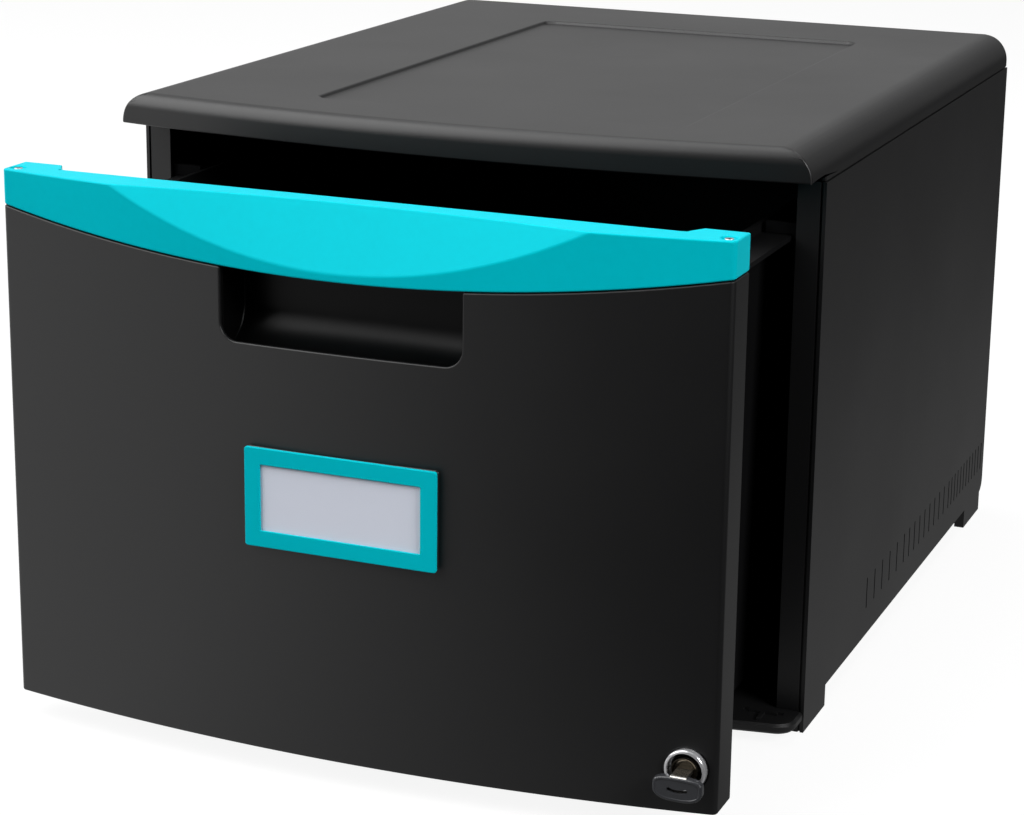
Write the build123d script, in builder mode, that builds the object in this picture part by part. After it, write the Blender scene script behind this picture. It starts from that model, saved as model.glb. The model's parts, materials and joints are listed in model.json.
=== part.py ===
from build123d import *
from math import sqrt
import os

os.makedirs("parts", exist_ok=True)

# A one-drawer plastic file cabinet for hanging folders, drawn with its drawer part open.
# X runs across the front, Y from the front to the back and Z up. The origin lies on the
# floor, under the middle of the space that the box takes up with its drawer as drawn.

# Cabinet, overall
cover_width = 381.6
overall_height = 310.9
cabinet_depth = 410.8
cover_overhang = 25.4
front_bow = 17.4
side_reveal = 0.5
jamb_width = 14.8
cut_margin = 1.0

# Top cover
cover_height = 20.0
hood_height = 16.7
cover_wall = 3.0
cover_edge_radius = 16.0
cover_front_radius = 7.0
cover_rear_radius = 3.0
cover_rib_thickness = 2.0
cover_rib_height = 6.5
cover_rib_pitch = 106.0
cover_rib_columns = 3
cover_rib_rows = 3
tray_left_inset = 97.8
tray_right_inset = 75.4
tray_setback = 29.0
tray_rear_inset = 73.2
tray_depth = 1.9
tray_corner_radius = 7.0
tray_wall_angle = 50.0
seam_gap = 0.3

# Side panels
side_wall = 2.4
flange_wall = 2.4
foot_height = 11.8
foot_thickness = 6.0
front_foot_length = 40.4
rear_foot_length = 42.2
heel_setback = 6.6
heel_rise = 8.3
panel_rib_thickness = 1.8
panel_rib_depth = 6.0
panel_rib_count = 5
panel_rib_pitch = 62.0
groove_width = 1.7
groove_length = 17.8
groove_depth = 1.0
groove_rise = 25.2
first_groove_setback = 119.6
wide_groove_count = 5
wide_groove_pitch = 16.5
middle_groove_count = 9
middle_groove_pitch = 12.3
close_groove_count = 11
close_groove_pitch = 8.1
groove_rear_margin = 6.0
jamb_line_inset = 1.8
jamb_line_width = 1.2
jamb_line_depth = 1.5

# Floor panel
floor_thickness = 2.4
floor_height = 5.4
floor_gap = 0.3
floor_lip_setback = 4.5
floor_corner_radius = 11.0
floor_edge_bevel = 1.4
floor_border = 9.0
floor_rib_thickness = 2.0
floor_rib_pitch = 95.0
floor_rib_columns = 3
floor_rib_rows = 3
strike_width = 15.0
strike_thickness = 2.0
strike_stem = 9.0
strike_offset = 3.0
strike_clearance = 0.4
strike_headroom = 0.4

# Back panel
back_wall = 2.4
back_gap = 0.3
back_tab_width = 10.5
back_upstand = 20.0
back_field_inset = 42.0
back_field_rise = 1.6
back_field_radius = 16.0

# Drawer travel
rest_opening = 120.0
tub_hold = 63.5
closing_gap = 0.65

# Drawer front and its trim
front_inset = 0.4
flange_depth = 21.4
front_wall = 2.6
front_lift = 1.9
front_edge_radius = 2.4
trim_gap = 4.6
trim_end_height = 17.5
trim_arch = 17.1
trim_joint = 0.6
trim_wall = 2.6
trim_edge_bevel = 0.7
trim_setback = 10.3
trim_end_block = 21.4
trim_ramp = 6.0
trim_ramp_radius = 5.0
scoop_half_width = 124.5
scoop_sag = 9.3
scoop_setback = 16.75
scoop_height = 30.6
scoop_wall = 3.0
pull_width = 126.0
pull_lip = 0.5
pull_offset_x = 2.0
pull_height = 34.7
pull_corner_radius = 9.0
pull_mouth_depth = 7.5
pull_depth = 28.0
pull_wall = 2.4
pull_dip = 5.0
pull_back_radius = 19.0

# Label holder
label_width = 101.2
label_height = 50.0
label_offset_x = 3.9
label_drop = 109.8
label_corner_radius = 2.5
label_frame_thickness = 1.8
label_proud = 2.6
label_border = 8.4
label_bevel = 0.5
label_pad_inset = 0.8
label_pad_depth = 4.4
card_margin = 2.2
card_thickness = 0.4
card_clearance = 0.15
peg_radius = 1.3
peg_length = 3.6
peg_inset = 4.0
peg_clearance = 0.1

# Drawer tub
tub_back_room = 10.2
tub_wall = 2.4
tub_bottom_gap = 4.5
tub_floor_thickness = 2.8
tub_draft_angle = 1.15
tub_corner_bevel = 12.0
rim_drop = 27.6
rim_ledge = 16.1
rim_thickness = 2.5
rim_corner_radius = 6.0
rim_back_overhang = 8.0
rail_height = 5.0
lug_inset = 2.5
lug_length = 8.0
lug_width = 5.0
lug_height = 3.6

# Runners
runner_web = 2.1
runner_clearance = 0.6
runner_slack = 0.4
runner_leaf = 2.2
runner_ledge_width = 11.0
runner_lip_width = 7.0
runner_skirt = 15.0
runner_front_setback = 3.0
runner_back_setback = 16.0
stop_thickness = 3.0
stop_clearance = 0.5
runner_seat_gap = 0.2

# Screws
screw_radius = 1.5
screw_sides = 6
head_sides = 8
screw_clearance = 0.1
screw_head_radius = 3.2
screw_head_height = 2.0
head_pocket_radius = 3.7
boss_radius = 4.4
cover_screw_length = 11.0
floor_screw_length = 9.0
back_screw_length = 8.0
runner_screw_length = 11.0
front_screw_length = 12.0
trim_screw_length = 24.0
cover_screw_inset = 34.0
boss_inset_x = 10.5
counterbore_depth = 2.4
runner_screw_inset = 44.0
back_screw_inset = 56.5
front_screw_inset = 27.5
front_screw_rise = 44.0
front_screw_drop = 30.0
pilot_margin = 1.0
trim_screw_inset_x = 5.4
trim_screw_inset_y = 6.6
trim_dimple_radius = 3.8
trim_dimple_depth = 1.2
trim_head_radius = 2.2
trim_head_height = 0.9
trim_boss_length = 14.0

# Lock and key
lock_inset = 14.9
lock_rise = 22.1
lock_proud = 2.6
lock_ring_radius = 10.35
lock_ring_thickness = 4.5
lock_barrel_radius = 8.0
lock_length = 18.5
lock_boss_radius = 12.5
lock_boss_depth = 4.8
lock_fit = 0.25
plug_radius = 6.4
plug_fit = 0.05
plug_setback = 0.5
plug_tail_side = 4.6
nut_radius = 11.0
nut_thickness = 3.0
nut_gap = 0.1
cam_length = 27.0
cam_width = 12.0
cam_thickness = 2.0
cam_gap = 0.5
cam_seat_gap = 0.1
cam_sweep_room = 0.9
cam_screw_head_radius = 3.5
cam_screw_head_height = 1.8
cam_screw_radius = 1.2
cam_screw_length = 3.8
keyway_width = 8.2
keyway_height = 2.0
keyway_depth = 16.0
key_clearance = 0.2
key_reach = 7.5
key_tip_room = 0.5
key_tip_chamfer = 2.0
key_cut_depths = (1.0, 1.8, 0.7, 1.5)
key_cut_pitch = 2.6
key_cut_width = 1.4
key_cut_start = 4.0
knuckle_radius = 1.7
knuckle_width = 8.0
pin_radius = 0.8
pin_length = 17.0
pin_fit = 0.05
head_width = 25.0
head_rise = 1.6
head_drop = 11.3
head_shoulder = 4.0
head_skin = 0.9
head_rear = 1.6
head_corner_radius = 3.2
head_notch_room = 0.3
head_eye_radius = 11.0
head_eye_half_angle = 24.0
head_eye_height = 1.5
head_eye_drop = 5.2

# Places across the width
half_cover = cover_width / 2
half_front = half_cover - front_inset
side_outer_x = half_cover + side_reveal
side_inner_x = side_outer_x - jamb_width
web_outer_x = side_inner_x - runner_seat_gap
web_inner_x = web_outer_x - runner_web
half_rim = web_inner_x - runner_clearance
half_tub = half_rim - rim_ledge
lock_x = half_front - lock_inset
trim_setback_half = half_front - trim_end_block - trim_ramp

# Places along the depth, counted from the back
overall_length = (
    cabinet_depth + closing_gap + rest_opening + flange_depth + front_bow + label_proud
)
back_y = overall_length / 2
side_front_y = back_y - cabinet_depth
cover_front_y = side_front_y - cover_overhang
closed_back_y = side_front_y - closing_gap
drawer_back_y = closed_back_y - rest_opening
face_corner_y = drawer_back_y - flange_depth
face_middle_y = face_corner_y - front_bow
upstand_back_y = back_y - flange_wall - 2 * back_gap - back_wall
upstand_front_y = upstand_back_y - floor_thickness
tub_length = upstand_front_y - tub_back_room - closed_back_y
full_opening = tub_length - tub_hold

# Places up the height
cover_bottom_z = overall_height - cover_height
hood_bottom_z = overall_height - hood_height
side_top_z = cover_bottom_z - seam_gap
floor_top_z = foot_height - floor_gap
floor_bottom_z = floor_top_z - floor_height
front_bottom_z = floor_top_z + front_lift
trim_top_z = hood_bottom_z - trim_gap
trim_end_z = trim_top_z - trim_end_height
trim_middle_z = trim_end_z - trim_arch
tub_bottom_z = floor_top_z + tub_bottom_gap
tub_rim_z = trim_top_z - rim_drop
rim_bottom_z = tub_rim_z - rim_thickness
pull_bottom_z = trim_middle_z - pull_height
label_centre_z = trim_middle_z - label_drop
lock_z = front_bottom_z + lock_rise


def bowed_y(x, corner_y):
    """Y of the bowed front at x, where the bow starts from corner_y at the corners."""
    radius = (half_front**2 + front_bow**2) / (2 * front_bow)
    return corner_y + radius - front_bow - sqrt(radius**2 - x**2)


def bowed_plan(half_width, corner_y, rear_y, spill=0):
    """Plan outline with straight sides and back and a front that bows outwards.

    The bow starts from corner_y at the half width. A spill carries the outline past that.
    """
    radius = (half_width**2 + front_bow**2) / (2 * front_bow)
    side_x = half_width + spill
    end_y = corner_y - front_bow + radius - sqrt(radius**2 - side_x**2)
    with BuildSketch() as plan:
        with BuildLine():
            Line((side_x, end_y), (side_x, rear_y))
            Line((side_x, rear_y), (-side_x, rear_y))
            Line((-side_x, rear_y), (-side_x, end_y))
            ThreePointArc((-side_x, end_y), (0, corner_y - front_bow), (side_x, end_y))
        make_face()
    return plan.sketch


def above_arch(end_z, middle_z, top_z):
    """Front view of everything above the arch that parts the front from its trim."""
    with BuildSketch() as region:
        with BuildLine():
            ThreePointArc((-half_front, end_z), (0, middle_z), (half_front, end_z))
            Line((half_front, end_z), (half_front, top_z))
            Line((half_front, top_z), (-half_front, top_z))
            Line((-half_front, top_z), (-half_front, end_z))
        make_face()
    return region.sketch


def front_view(y):
    """Plane square to the depth at y, whose sketches read as seen from the front."""
    return Plane.XZ.offset(-y)


def side_view(x):
    """Plane square to the width at x, whose sketches have Y across and Z up."""
    return Plane.YZ.offset(x)


def rearward(x, y, z):
    """Plane for a screw at a point, pointing to the back."""
    return Plane(origin=(x, y, z), x_dir=(1, 0, 0), z_dir=(0, 1, 0))


def forward(x, y, z):
    """Plane for a screw at a point, pointing to the front."""
    return Plane(origin=(x, y, z), x_dir=(1, 0, 0), z_dir=(0, -1, 0))


def screw_set(name, planes, length, head_radius=screw_head_radius, head=screw_head_height):
    """Screws whose heads lie on the planes and whose shanks go along their normals.

    They repeat, mostly out of sight, so shanks and holes are six-sided and heads eight-sided.
    """
    with BuildPart() as screws:
        for plane in planes:
            with BuildSketch(plane):
                RegularPolygon(head_radius, head_sides)
            extrude(amount=-head)
            with BuildSketch(plane):
                RegularPolygon(screw_radius, screw_sides)
            extrude(amount=length)
    screws.part.label = name
    export_step(screws.part, f"parts/{name}.step")
    print(name, screws.part.is_valid, len(screws.part.solids()))


# Top cover: a tray turned over, with its sides rolled down to the side panels, a bowed
# hood at the front, a shallow sunk tray on top and ribs underneath
tray_width = cover_width - tray_left_inset - tray_right_inset
tray_middle_x = (tray_left_inset - tray_right_inset) / 2
tray_length = back_y - cover_front_y - tray_setback - tray_rear_inset
tray_middle_y = cover_front_y + tray_setback + tray_length / 2
cover_screw_x = side_outer_x - boss_inset_x
cover_screw_points = [
    (x, y)
    for x in (-cover_screw_x, cover_screw_x)
    for y in (side_front_y + cover_screw_inset, back_y - cover_screw_inset)
]
cover_ceiling_z = overall_height - cover_wall


def cover_section(inset):
    """Cover as seen from the front, smaller by the inset, with its two top corners round."""
    with BuildSketch() as section:
        with Locations((0, cover_bottom_z - cut_margin)):
            Rectangle(
                2 * (half_cover - inset),
                cover_height - inset + cut_margin,
                align=(Align.CENTER, Align.MIN),
            )
        fillet(section.vertices().group_by(Axis.Y)[-1], cover_edge_radius - inset)
    return section.sketch


with BuildPart() as cover_hollow:
    inner_front_y = cover_front_y + cover_wall
    with BuildSketch(Plane.XY.offset(cover_bottom_z - cut_margin)):
        add(bowed_plan(half_cover - cover_wall, inner_front_y, back_y - cover_wall, cut_margin))
    extrude(amount=cover_height - cover_wall + cut_margin)
    with BuildSketch(front_view(back_y)):
        add(cover_section(cover_wall))
    extrude(amount=2 * overall_length, mode=Mode.INTERSECT)
    with BuildSketch(Plane.XY.offset(cover_ceiling_z)):
        with Locations((tray_middle_x, tray_middle_y)):
            Rectangle(tray_width + 2 * cover_wall, tray_length + 2 * cover_wall)
    extrude(amount=-tray_depth, mode=Mode.SUBTRACT)
    with BuildSketch(Plane.XY.offset(cover_ceiling_z)):
        with GridLocations(cover_rib_pitch, 0, cover_rib_columns, 1):
            Rectangle(cover_rib_thickness, 2 * cabinet_depth)
        with Locations((0, tray_middle_y)):
            with GridLocations(0, cover_rib_pitch, 1, cover_rib_rows):
                Rectangle(cover_width, cover_rib_thickness)
    extrude(amount=-cover_rib_height, mode=Mode.SUBTRACT)
    with BuildSketch(Plane.XY.offset(cover_bottom_z)):
        with Locations(*cover_screw_points):
            RegularPolygon(boss_radius, head_sides)
    extrude(amount=cover_height, mode=Mode.SUBTRACT)

with BuildPart() as top_cover:
    with BuildSketch(Plane.XY.offset(cover_bottom_z)):
        add(bowed_plan(half_cover, cover_front_y, back_y, cut_margin))
    extrude(amount=cover_height)
    top_rim = top_cover.faces().sort_by(Axis.Z)[-1].edges().sort_by(Axis.Y)
    fillet(top_rim[0], cover_front_radius)
    top_rim = top_cover.faces().sort_by(Axis.Z)[-1].edges().sort_by(Axis.Y)
    fillet(top_rim[-1], cover_rear_radius)
    with BuildSketch(front_view(back_y + cut_margin)):
        add(cover_section(0))
    extrude(amount=2 * overall_length, mode=Mode.INTERSECT)
    add(cover_hollow.part, mode=Mode.SUBTRACT)
    with BuildSketch(Plane.XY.offset(overall_height)):
        with Locations((tray_middle_x, tray_middle_y)):
            RectangleRounded(tray_width, tray_length, tray_corner_radius)
    extrude(amount=-tray_depth, taper=tray_wall_angle, mode=Mode.SUBTRACT)
    with BuildSketch(Plane.XY.offset(cover_bottom_z)):
        with Locations((0, side_front_y - cover_overhang)):
            Rectangle(2 * cover_width, 2 * cover_overhang)
    extrude(amount=cover_height - hood_height, mode=Mode.SUBTRACT)
    with BuildSketch(Plane.XY.offset(cover_bottom_z)):
        with Locations(*cover_screw_points):
            RegularPolygon(screw_radius + screw_clearance, screw_sides)
    extrude(amount=cover_screw_length, mode=Mode.SUBTRACT)
top_cover.part.label = "top_cover"
export_step(top_cover.part, "parts/top_cover.step")
print("top_cover", top_cover.part.is_valid, len(top_cover.part.solids()))

# Side panels: a skin with a flange round its inner side, two feet, ribs and bosses
# inside, and a row of upright grooves that draw closer together towards the back
heel_y = back_y - heel_setback
runner_screw_z = rim_bottom_z - runner_slack - runner_leaf - runner_skirt / 2
runner_screw_ys = [
    side_front_y + runner_screw_inset,
    (side_front_y + back_y) / 2,
    back_y - runner_screw_inset,
]
groove_pitches = [wide_groove_pitch] * wide_groove_count
groove_pitches += [middle_groove_pitch] * middle_groove_count
groove_pitches += [close_groove_pitch] * close_groove_count
groove_ys = [side_front_y + first_groove_setback]
for pitch in groove_pitches:
    if groove_ys[-1] + pitch < back_y - groove_rear_margin:
        groove_ys.append(groove_ys[-1] + pitch)
groove_z = foot_height + groove_rise

with BuildSketch() as panel_outline:
    with BuildLine():
        Line((heel_y, foot_height), (side_front_y, foot_height))
        Line((side_front_y, foot_height), (side_front_y, side_top_z))
        Line((side_front_y, side_top_z), (back_y, side_top_z))
        Line((back_y, side_top_z), (back_y, foot_height + heel_rise))
        TangentArc((back_y, foot_height + heel_rise), (heel_y, foot_height), tangent=(0, -1))
    make_face()

with BuildSketch() as panel_inside:
    add(panel_outline.sketch)
    offset(amount=-flange_wall, kind=Kind.INTERSECTION, mode=Mode.REPLACE)

with BuildPart() as panel_hollow:
    with BuildSketch(side_view(side_inner_x - cut_margin)):
        add(panel_inside.sketch)
    extrude(amount=jamb_width - side_wall + cut_margin)
    with BuildSketch(side_view(side_outer_x - side_wall)):
        with Locations(((side_front_y + back_y) / 2, side_top_z / 2)):
            with GridLocations(panel_rib_pitch, 0, panel_rib_count, 1):
                Rectangle(panel_rib_thickness, overall_height)
    extrude(amount=-panel_rib_depth, mode=Mode.SUBTRACT)
    with BuildSketch(side_view(side_outer_x)):
        with Locations(*[(y, runner_screw_z) for y in runner_screw_ys]):
            RegularPolygon(boss_radius, head_sides)
    extrude(amount=-jamb_width, mode=Mode.SUBTRACT)
    with BuildSketch(Plane.XY.offset(foot_height)):
        with Locations(*[(x, y) for x, y in cover_screw_points if x > 0]):
            RegularPolygon(boss_radius, head_sides)
    extrude(amount=floor_screw_length, mode=Mode.SUBTRACT)

with BuildPart() as right_side_panel:
    with BuildSketch(side_view(side_inner_x)):
        add(panel_outline.sketch)
    extrude(amount=jamb_width)
    with BuildSketch(side_view(side_outer_x)):
        with Locations((side_front_y + front_foot_length / 2, foot_height / 2)):
            Rectangle(front_foot_length, foot_height)
        with Locations((heel_y - rear_foot_length / 2, foot_height / 2)):
            Rectangle(rear_foot_length, foot_height)
    extrude(amount=-foot_thickness)
    add(panel_hollow.part, mode=Mode.SUBTRACT)
    with BuildSketch(side_view(side_outer_x)):
        with Locations(*[(y, groove_z) for y in groove_ys]):
            Rectangle(groove_width, groove_length)
    extrude(amount=-groove_depth, mode=Mode.SUBTRACT)
    with BuildSketch(front_view(side_front_y)):
        with Locations((side_outer_x - jamb_line_inset - jamb_line_width / 2, overall_height / 2)):
            Rectangle(jamb_line_width, overall_height)
    extrude(amount=-jamb_line_depth, mode=Mode.SUBTRACT)
    with BuildSketch(side_view(side_inner_x)):
        with Locations(*[(y, runner_screw_z) for y in runner_screw_ys]):
            RegularPolygon(screw_radius + screw_clearance, screw_sides)
    extrude(amount=runner_screw_length, mode=Mode.SUBTRACT)
    with BuildSketch(Plane.XY.offset(foot_height)):
        with Locations(*[(x, y) for x, y in cover_screw_points if x > 0]):
            RegularPolygon(screw_radius + screw_clearance, screw_sides)
    extrude(amount=floor_screw_length - pilot_margin, mode=Mode.SUBTRACT)
    with BuildSketch(Plane.XY.offset(side_top_z)):
        with Locations(*[(x, y) for x, y in cover_screw_points if x > 0]):
            RegularPolygon(screw_radius + screw_clearance, screw_sides)
    extrude(amount=-flange_wall, mode=Mode.SUBTRACT)
right_side_panel.part.label = "right_side_panel"
export_step(right_side_panel.part, "parts/right_side_panel.step")
print("right_side_panel", right_side_panel.part.is_valid, len(right_side_panel.part.solids()))

with BuildPart() as left_side_panel:
    add(mirror(right_side_panel.part, about=Plane.YZ, mode=Mode.PRIVATE))
left_side_panel.part.label = "left_side_panel"
export_step(left_side_panel.part, "parts/left_side_panel.step")

# Lock, along the depth
lock_face_y = bowed_y(lock_x, face_corner_y)
ring_front_y = lock_face_y - lock_proud
lock_seat_y = ring_front_y + lock_ring_thickness
boss_back_y = lock_seat_y + lock_boss_depth
barrel_back_y = ring_front_y + lock_length
cam_front_y = barrel_back_y + cam_gap
cam_back_y = cam_front_y + cam_thickness
cam_sweep_radius = sqrt(cam_length**2 + (cam_width / 2) ** 2)
strike_back_y = cam_front_y + rest_opening - strike_clearance


def cam_slot_left(z):
    """X at which the tip of the turning cam first drops to height z."""
    return lock_x - sqrt(cam_sweep_radius**2 - (lock_z - z) ** 2) - cam_sweep_room


cam_slot_right = lock_x + cam_width / 2 + cam_sweep_room

# Floor panel: joins the sides at the bottom, shows a bowed lip in front of them, and
# carries the strike that the cam of the lock drops behind
floor_side_x = side_outer_x - foot_thickness - floor_gap
floor_corner_y = cover_front_y + floor_lip_setback
floor_lip_back_y = side_front_y - floor_gap
back_screw_z = floor_top_z + back_upstand / 2
back_screw_xs = (back_screw_inset - side_inner_x, 0, side_inner_x - back_screw_inset)

with BuildPart() as floor_hollow:
    with BuildSketch(Plane.XY.offset(floor_bottom_z)):
        with Locations((0, (side_front_y + upstand_front_y) / 2)):
            Rectangle(
                2 * (floor_side_x - floor_border),
                upstand_front_y - side_front_y - 2 * floor_border,
            )
        with GridLocations(floor_rib_pitch, 0, floor_rib_columns, 1):
            Rectangle(floor_rib_thickness, 2 * cabinet_depth, mode=Mode.SUBTRACT)
        with Locations((0, (side_front_y + back_y) / 2)):
            with GridLocations(0, floor_rib_pitch, 1, floor_rib_rows):
                Rectangle(cover_width, floor_rib_thickness, mode=Mode.SUBTRACT)
    extrude(amount=floor_height - floor_thickness)

with BuildPart() as floor_panel:
    with BuildSketch(Plane.XY.offset(floor_bottom_z)):
        add(bowed_plan(half_cover, floor_corner_y, floor_lip_back_y))
    extrude(amount=floor_height)
    fillet(floor_panel.edges().filter_by(Axis.Z).sort_by(Axis.Y)[:2], floor_corner_radius)
    front_edges = floor_panel.edges().filter_by(
        lambda edge: edge.center().Y < floor_lip_back_y - cut_margin
    )
    chamfer(front_edges.filter_by(Axis.Z, reverse=True), floor_edge_bevel)
    with BuildSketch(Plane.XY.offset(floor_bottom_z)):
        with Locations((0, (floor_lip_back_y + upstand_back_y) / 2)):
            Rectangle(2 * floor_side_x, upstand_back_y - floor_lip_back_y + floor_border)
        with Locations((0, upstand_back_y + cover_width / 2)):
            Rectangle(2 * cover_width, cover_width, mode=Mode.SUBTRACT)
    extrude(amount=floor_height)
    with BuildSketch(Plane.XY.offset(floor_top_z)):
        with Locations((0, upstand_back_y - floor_thickness / 2)):
            Rectangle(2 * (side_inner_x - floor_border), floor_thickness)
    extrude(amount=back_upstand)
    add(floor_hollow.part, mode=Mode.SUBTRACT)
    with BuildSketch(Plane.XY.offset(floor_top_z)):
        with Locations((lock_x - strike_offset, strike_back_y - strike_thickness / 2)):
            Rectangle(strike_width, strike_thickness)
        with Locations((lock_x - strike_offset, strike_back_y - strike_thickness)):
            Rectangle(strike_thickness, strike_stem, align=(Align.CENTER, Align.MAX))
    extrude(amount=front_lift - strike_headroom)
    slot_left = cam_slot_left(floor_top_z)
    slot_back_y = cam_back_y + rest_opening + cam_sweep_room
    with BuildSketch(Plane.XY.offset(floor_top_z)):
        with Locations(((slot_left + cam_slot_right) / 2, (strike_back_y + slot_back_y) / 2)):
            Rectangle(cam_slot_right - slot_left, slot_back_y - strike_back_y)
    extrude(amount=-floor_height, mode=Mode.SUBTRACT)
    with BuildSketch(Plane.XY.offset(floor_bottom_z)):
        with Locations(*cover_screw_points):
            RegularPolygon(head_pocket_radius, head_sides)
    extrude(amount=counterbore_depth, mode=Mode.SUBTRACT)
    with BuildSketch(Plane.XY.offset(floor_bottom_z)):
        with Locations(*cover_screw_points):
            RegularPolygon(screw_radius + screw_clearance, screw_sides)
    extrude(amount=floor_height, mode=Mode.SUBTRACT)
    with BuildSketch(front_view(upstand_front_y)):
        with Locations(*[(x, back_screw_z) for x in back_screw_xs]):
            RegularPolygon(screw_radius + screw_clearance, screw_sides)
    extrude(amount=floor_thickness, both=True, mode=Mode.SUBTRACT)
floor_panel.part.label = "floor_panel"
export_step(floor_panel.part, "parts/floor_panel.step")
print("floor_panel", floor_panel.part.is_valid, len(floor_panel.part.solids()))

# Back panel: slides between the back flanges of the sides and stands on the floor panel
back_panel_y = upstand_back_y + back_gap
back_bottom_z = floor_top_z + back_gap
back_tab_low_z = foot_height + heel_rise + flange_wall
back_tab_high_z = side_top_z - 2 * flange_wall
with BuildPart() as back_panel:
    with BuildSketch(front_view(back_panel_y)):
        with Locations((0, (back_bottom_z + side_top_z) / 2)):
            Rectangle(2 * (side_inner_x - back_gap), side_top_z - back_bottom_z)
        with Locations((0, (back_tab_low_z + back_tab_high_z) / 2)):
            Rectangle(2 * (side_inner_x + back_tab_width), back_tab_high_z - back_tab_low_z)
    extrude(amount=-back_wall)
    field_width = 2 * (side_inner_x - back_field_inset)
    field_height = side_top_z - back_bottom_z - 2 * back_field_inset
    with BuildSketch(front_view(back_panel_y + back_wall)):
        with Locations((0, (back_bottom_z + side_top_z) / 2)):
            RectangleRounded(field_width, field_height, back_field_radius)
    extrude(amount=-back_field_rise)
    with BuildSketch(front_view(back_panel_y)):
        with Locations((0, (back_bottom_z + side_top_z) / 2)):
            RectangleRounded(
                field_width - 2 * back_wall,
                field_height - 2 * back_wall,
                back_field_radius - back_wall,
            )
    extrude(amount=-back_field_rise, mode=Mode.SUBTRACT)
    with BuildSketch(front_view(back_panel_y)):
        with Locations(*[(x, back_screw_z) for x in back_screw_xs]):
            RegularPolygon(screw_radius + screw_clearance, screw_sides)
    extrude(amount=-back_wall, mode=Mode.SUBTRACT)
back_panel.part.label = "back_panel"
export_step(back_panel.part, "parts/back_panel.step")
print("back_panel", back_panel.part.is_valid, len(back_panel.part.solids()))

# Runners: channels on the sides that the rim of the drawer tub slides in, each with a
# stop near the front that a lug on the rim meets at full opening
runner_front_y = side_front_y + runner_front_setback
runner_length = cabinet_depth - runner_front_setback - runner_back_setback
ledge_top_z = rim_bottom_z - runner_slack
runner_lip_z = tub_rim_z + runner_slack
ledge_inner_x = web_inner_x - runner_ledge_width
lip_inner_x = web_inner_x - runner_lip_width
runner_low_z = ledge_top_z - runner_leaf - runner_skirt
stop_inner_x = half_tub + lug_inset
lug_front_y = runner_front_y + stop_thickness + stop_clearance + full_opening - rest_opening

with BuildPart() as right_runner:
    with BuildSketch(front_view(runner_front_y)):
        with Locations((web_inner_x, runner_low_z)):
            Rectangle(
                web_outer_x - web_inner_x,
                runner_lip_z + runner_leaf - runner_low_z,
                align=(Align.MIN, Align.MIN),
            )
        with Locations((ledge_inner_x, ledge_top_z)):
            Rectangle(
                runner_ledge_width, runner_leaf, align=(Align.MIN, Align.MAX)
            )
        with Locations((lip_inner_x, runner_lip_z)):
            Rectangle(runner_lip_width, runner_leaf, align=(Align.MIN, Align.MIN))
    extrude(amount=-runner_length)
    with BuildSketch(front_view(runner_front_y)):
        with Locations((stop_inner_x, runner_lip_z)):
            Rectangle(
                web_outer_x - stop_inner_x,
                lug_height + runner_leaf,
                align=(Align.MIN, Align.MIN),
            )
    extrude(amount=-stop_thickness)
    with BuildSketch(side_view(web_outer_x)):
        with Locations(*[(y, runner_screw_z) for y in runner_screw_ys]):
            RegularPolygon(screw_radius + screw_clearance, screw_sides)
    extrude(amount=-2 * runner_web, mode=Mode.SUBTRACT)
right_runner.part.label = "right_runner"
export_step(right_runner.part, "parts/right_runner.step")
print("right_runner", right_runner.part.is_valid, len(right_runner.part.solids()))

with BuildPart() as left_runner:
    add(mirror(right_runner.part, about=Plane.YZ, mode=Mode.PRIVATE))
left_runner.part.label = "left_runner"
export_step(left_runner.part, "parts/left_runner.step")

# Drawer tub: tapered walls, a rim that rides in the runners and a raised edge to hang
# folders from
tub_front_y = drawer_back_y
tub_back_y = tub_front_y + tub_length
tub_body_back_y = tub_back_y - rim_back_overhang
hanging_z = tub_rim_z + rail_height


def tub_block(inset, low_z):
    """Block with drafted sides and back and an upright front, down to low_z."""
    front_y = tub_front_y + inset
    length = tub_body_back_y - inset - front_y
    with BuildPart() as block:
        with BuildSketch(Plane.XY.offset(hanging_z)):
            with Locations((0, front_y)):
                Rectangle(2 * (half_tub - inset), 2 * length)
        extrude(amount=low_z - hanging_z, taper=tub_draft_angle)
        split(bisect_by=Plane.XZ.offset(-front_y), keep=Keep.BOTTOM)
        rear_corners = block.edges().filter_by(Axis.Y, reverse=True)
        rear_corners = rear_corners.filter_by(Axis.X, reverse=True).group_by(Axis.Y)[-1]
        chamfer(rear_corners, tub_corner_bevel - inset * (2 - sqrt(2)))
    return block.part


front_screw_points = [
    (x, z)
    for x in (front_screw_inset - half_tub, half_tub - front_screw_inset)
    for z in (tub_bottom_z + front_screw_rise, tub_rim_z - front_screw_drop)
]

with BuildPart() as drawer_tub:
    add(tub_block(0, tub_bottom_z))
    with BuildSketch(Plane.XY.offset(rim_bottom_z)):
        with Locations((0, (tub_front_y + tub_back_y) / 2)):
            RectangleRounded(2 * half_rim, tub_length, rim_corner_radius)
    extrude(amount=rim_thickness)
    with BuildSketch(Plane.XY.offset(tub_rim_z)):
        for side in (-1, 1):
            with Locations((side * (half_tub + lug_inset + lug_width / 2), lug_front_y)):
                Rectangle(lug_width, lug_length, align=(Align.CENTER, Align.MIN))
    extrude(amount=lug_height)
    add(tub_block(tub_wall, tub_bottom_z + tub_floor_thickness), mode=Mode.SUBTRACT)
    with BuildSketch(front_view(tub_front_y)):
        with Locations(*front_screw_points):
            RegularPolygon(screw_radius + screw_clearance, screw_sides)
    extrude(amount=-tub_wall, mode=Mode.SUBTRACT)
drawer_tub.part.label = "drawer_tub"
export_step(drawer_tub.part, "parts/drawer_tub.step")
print("drawer_tub", drawer_tub.part.is_valid, len(drawer_tub.part.solids()))

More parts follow.
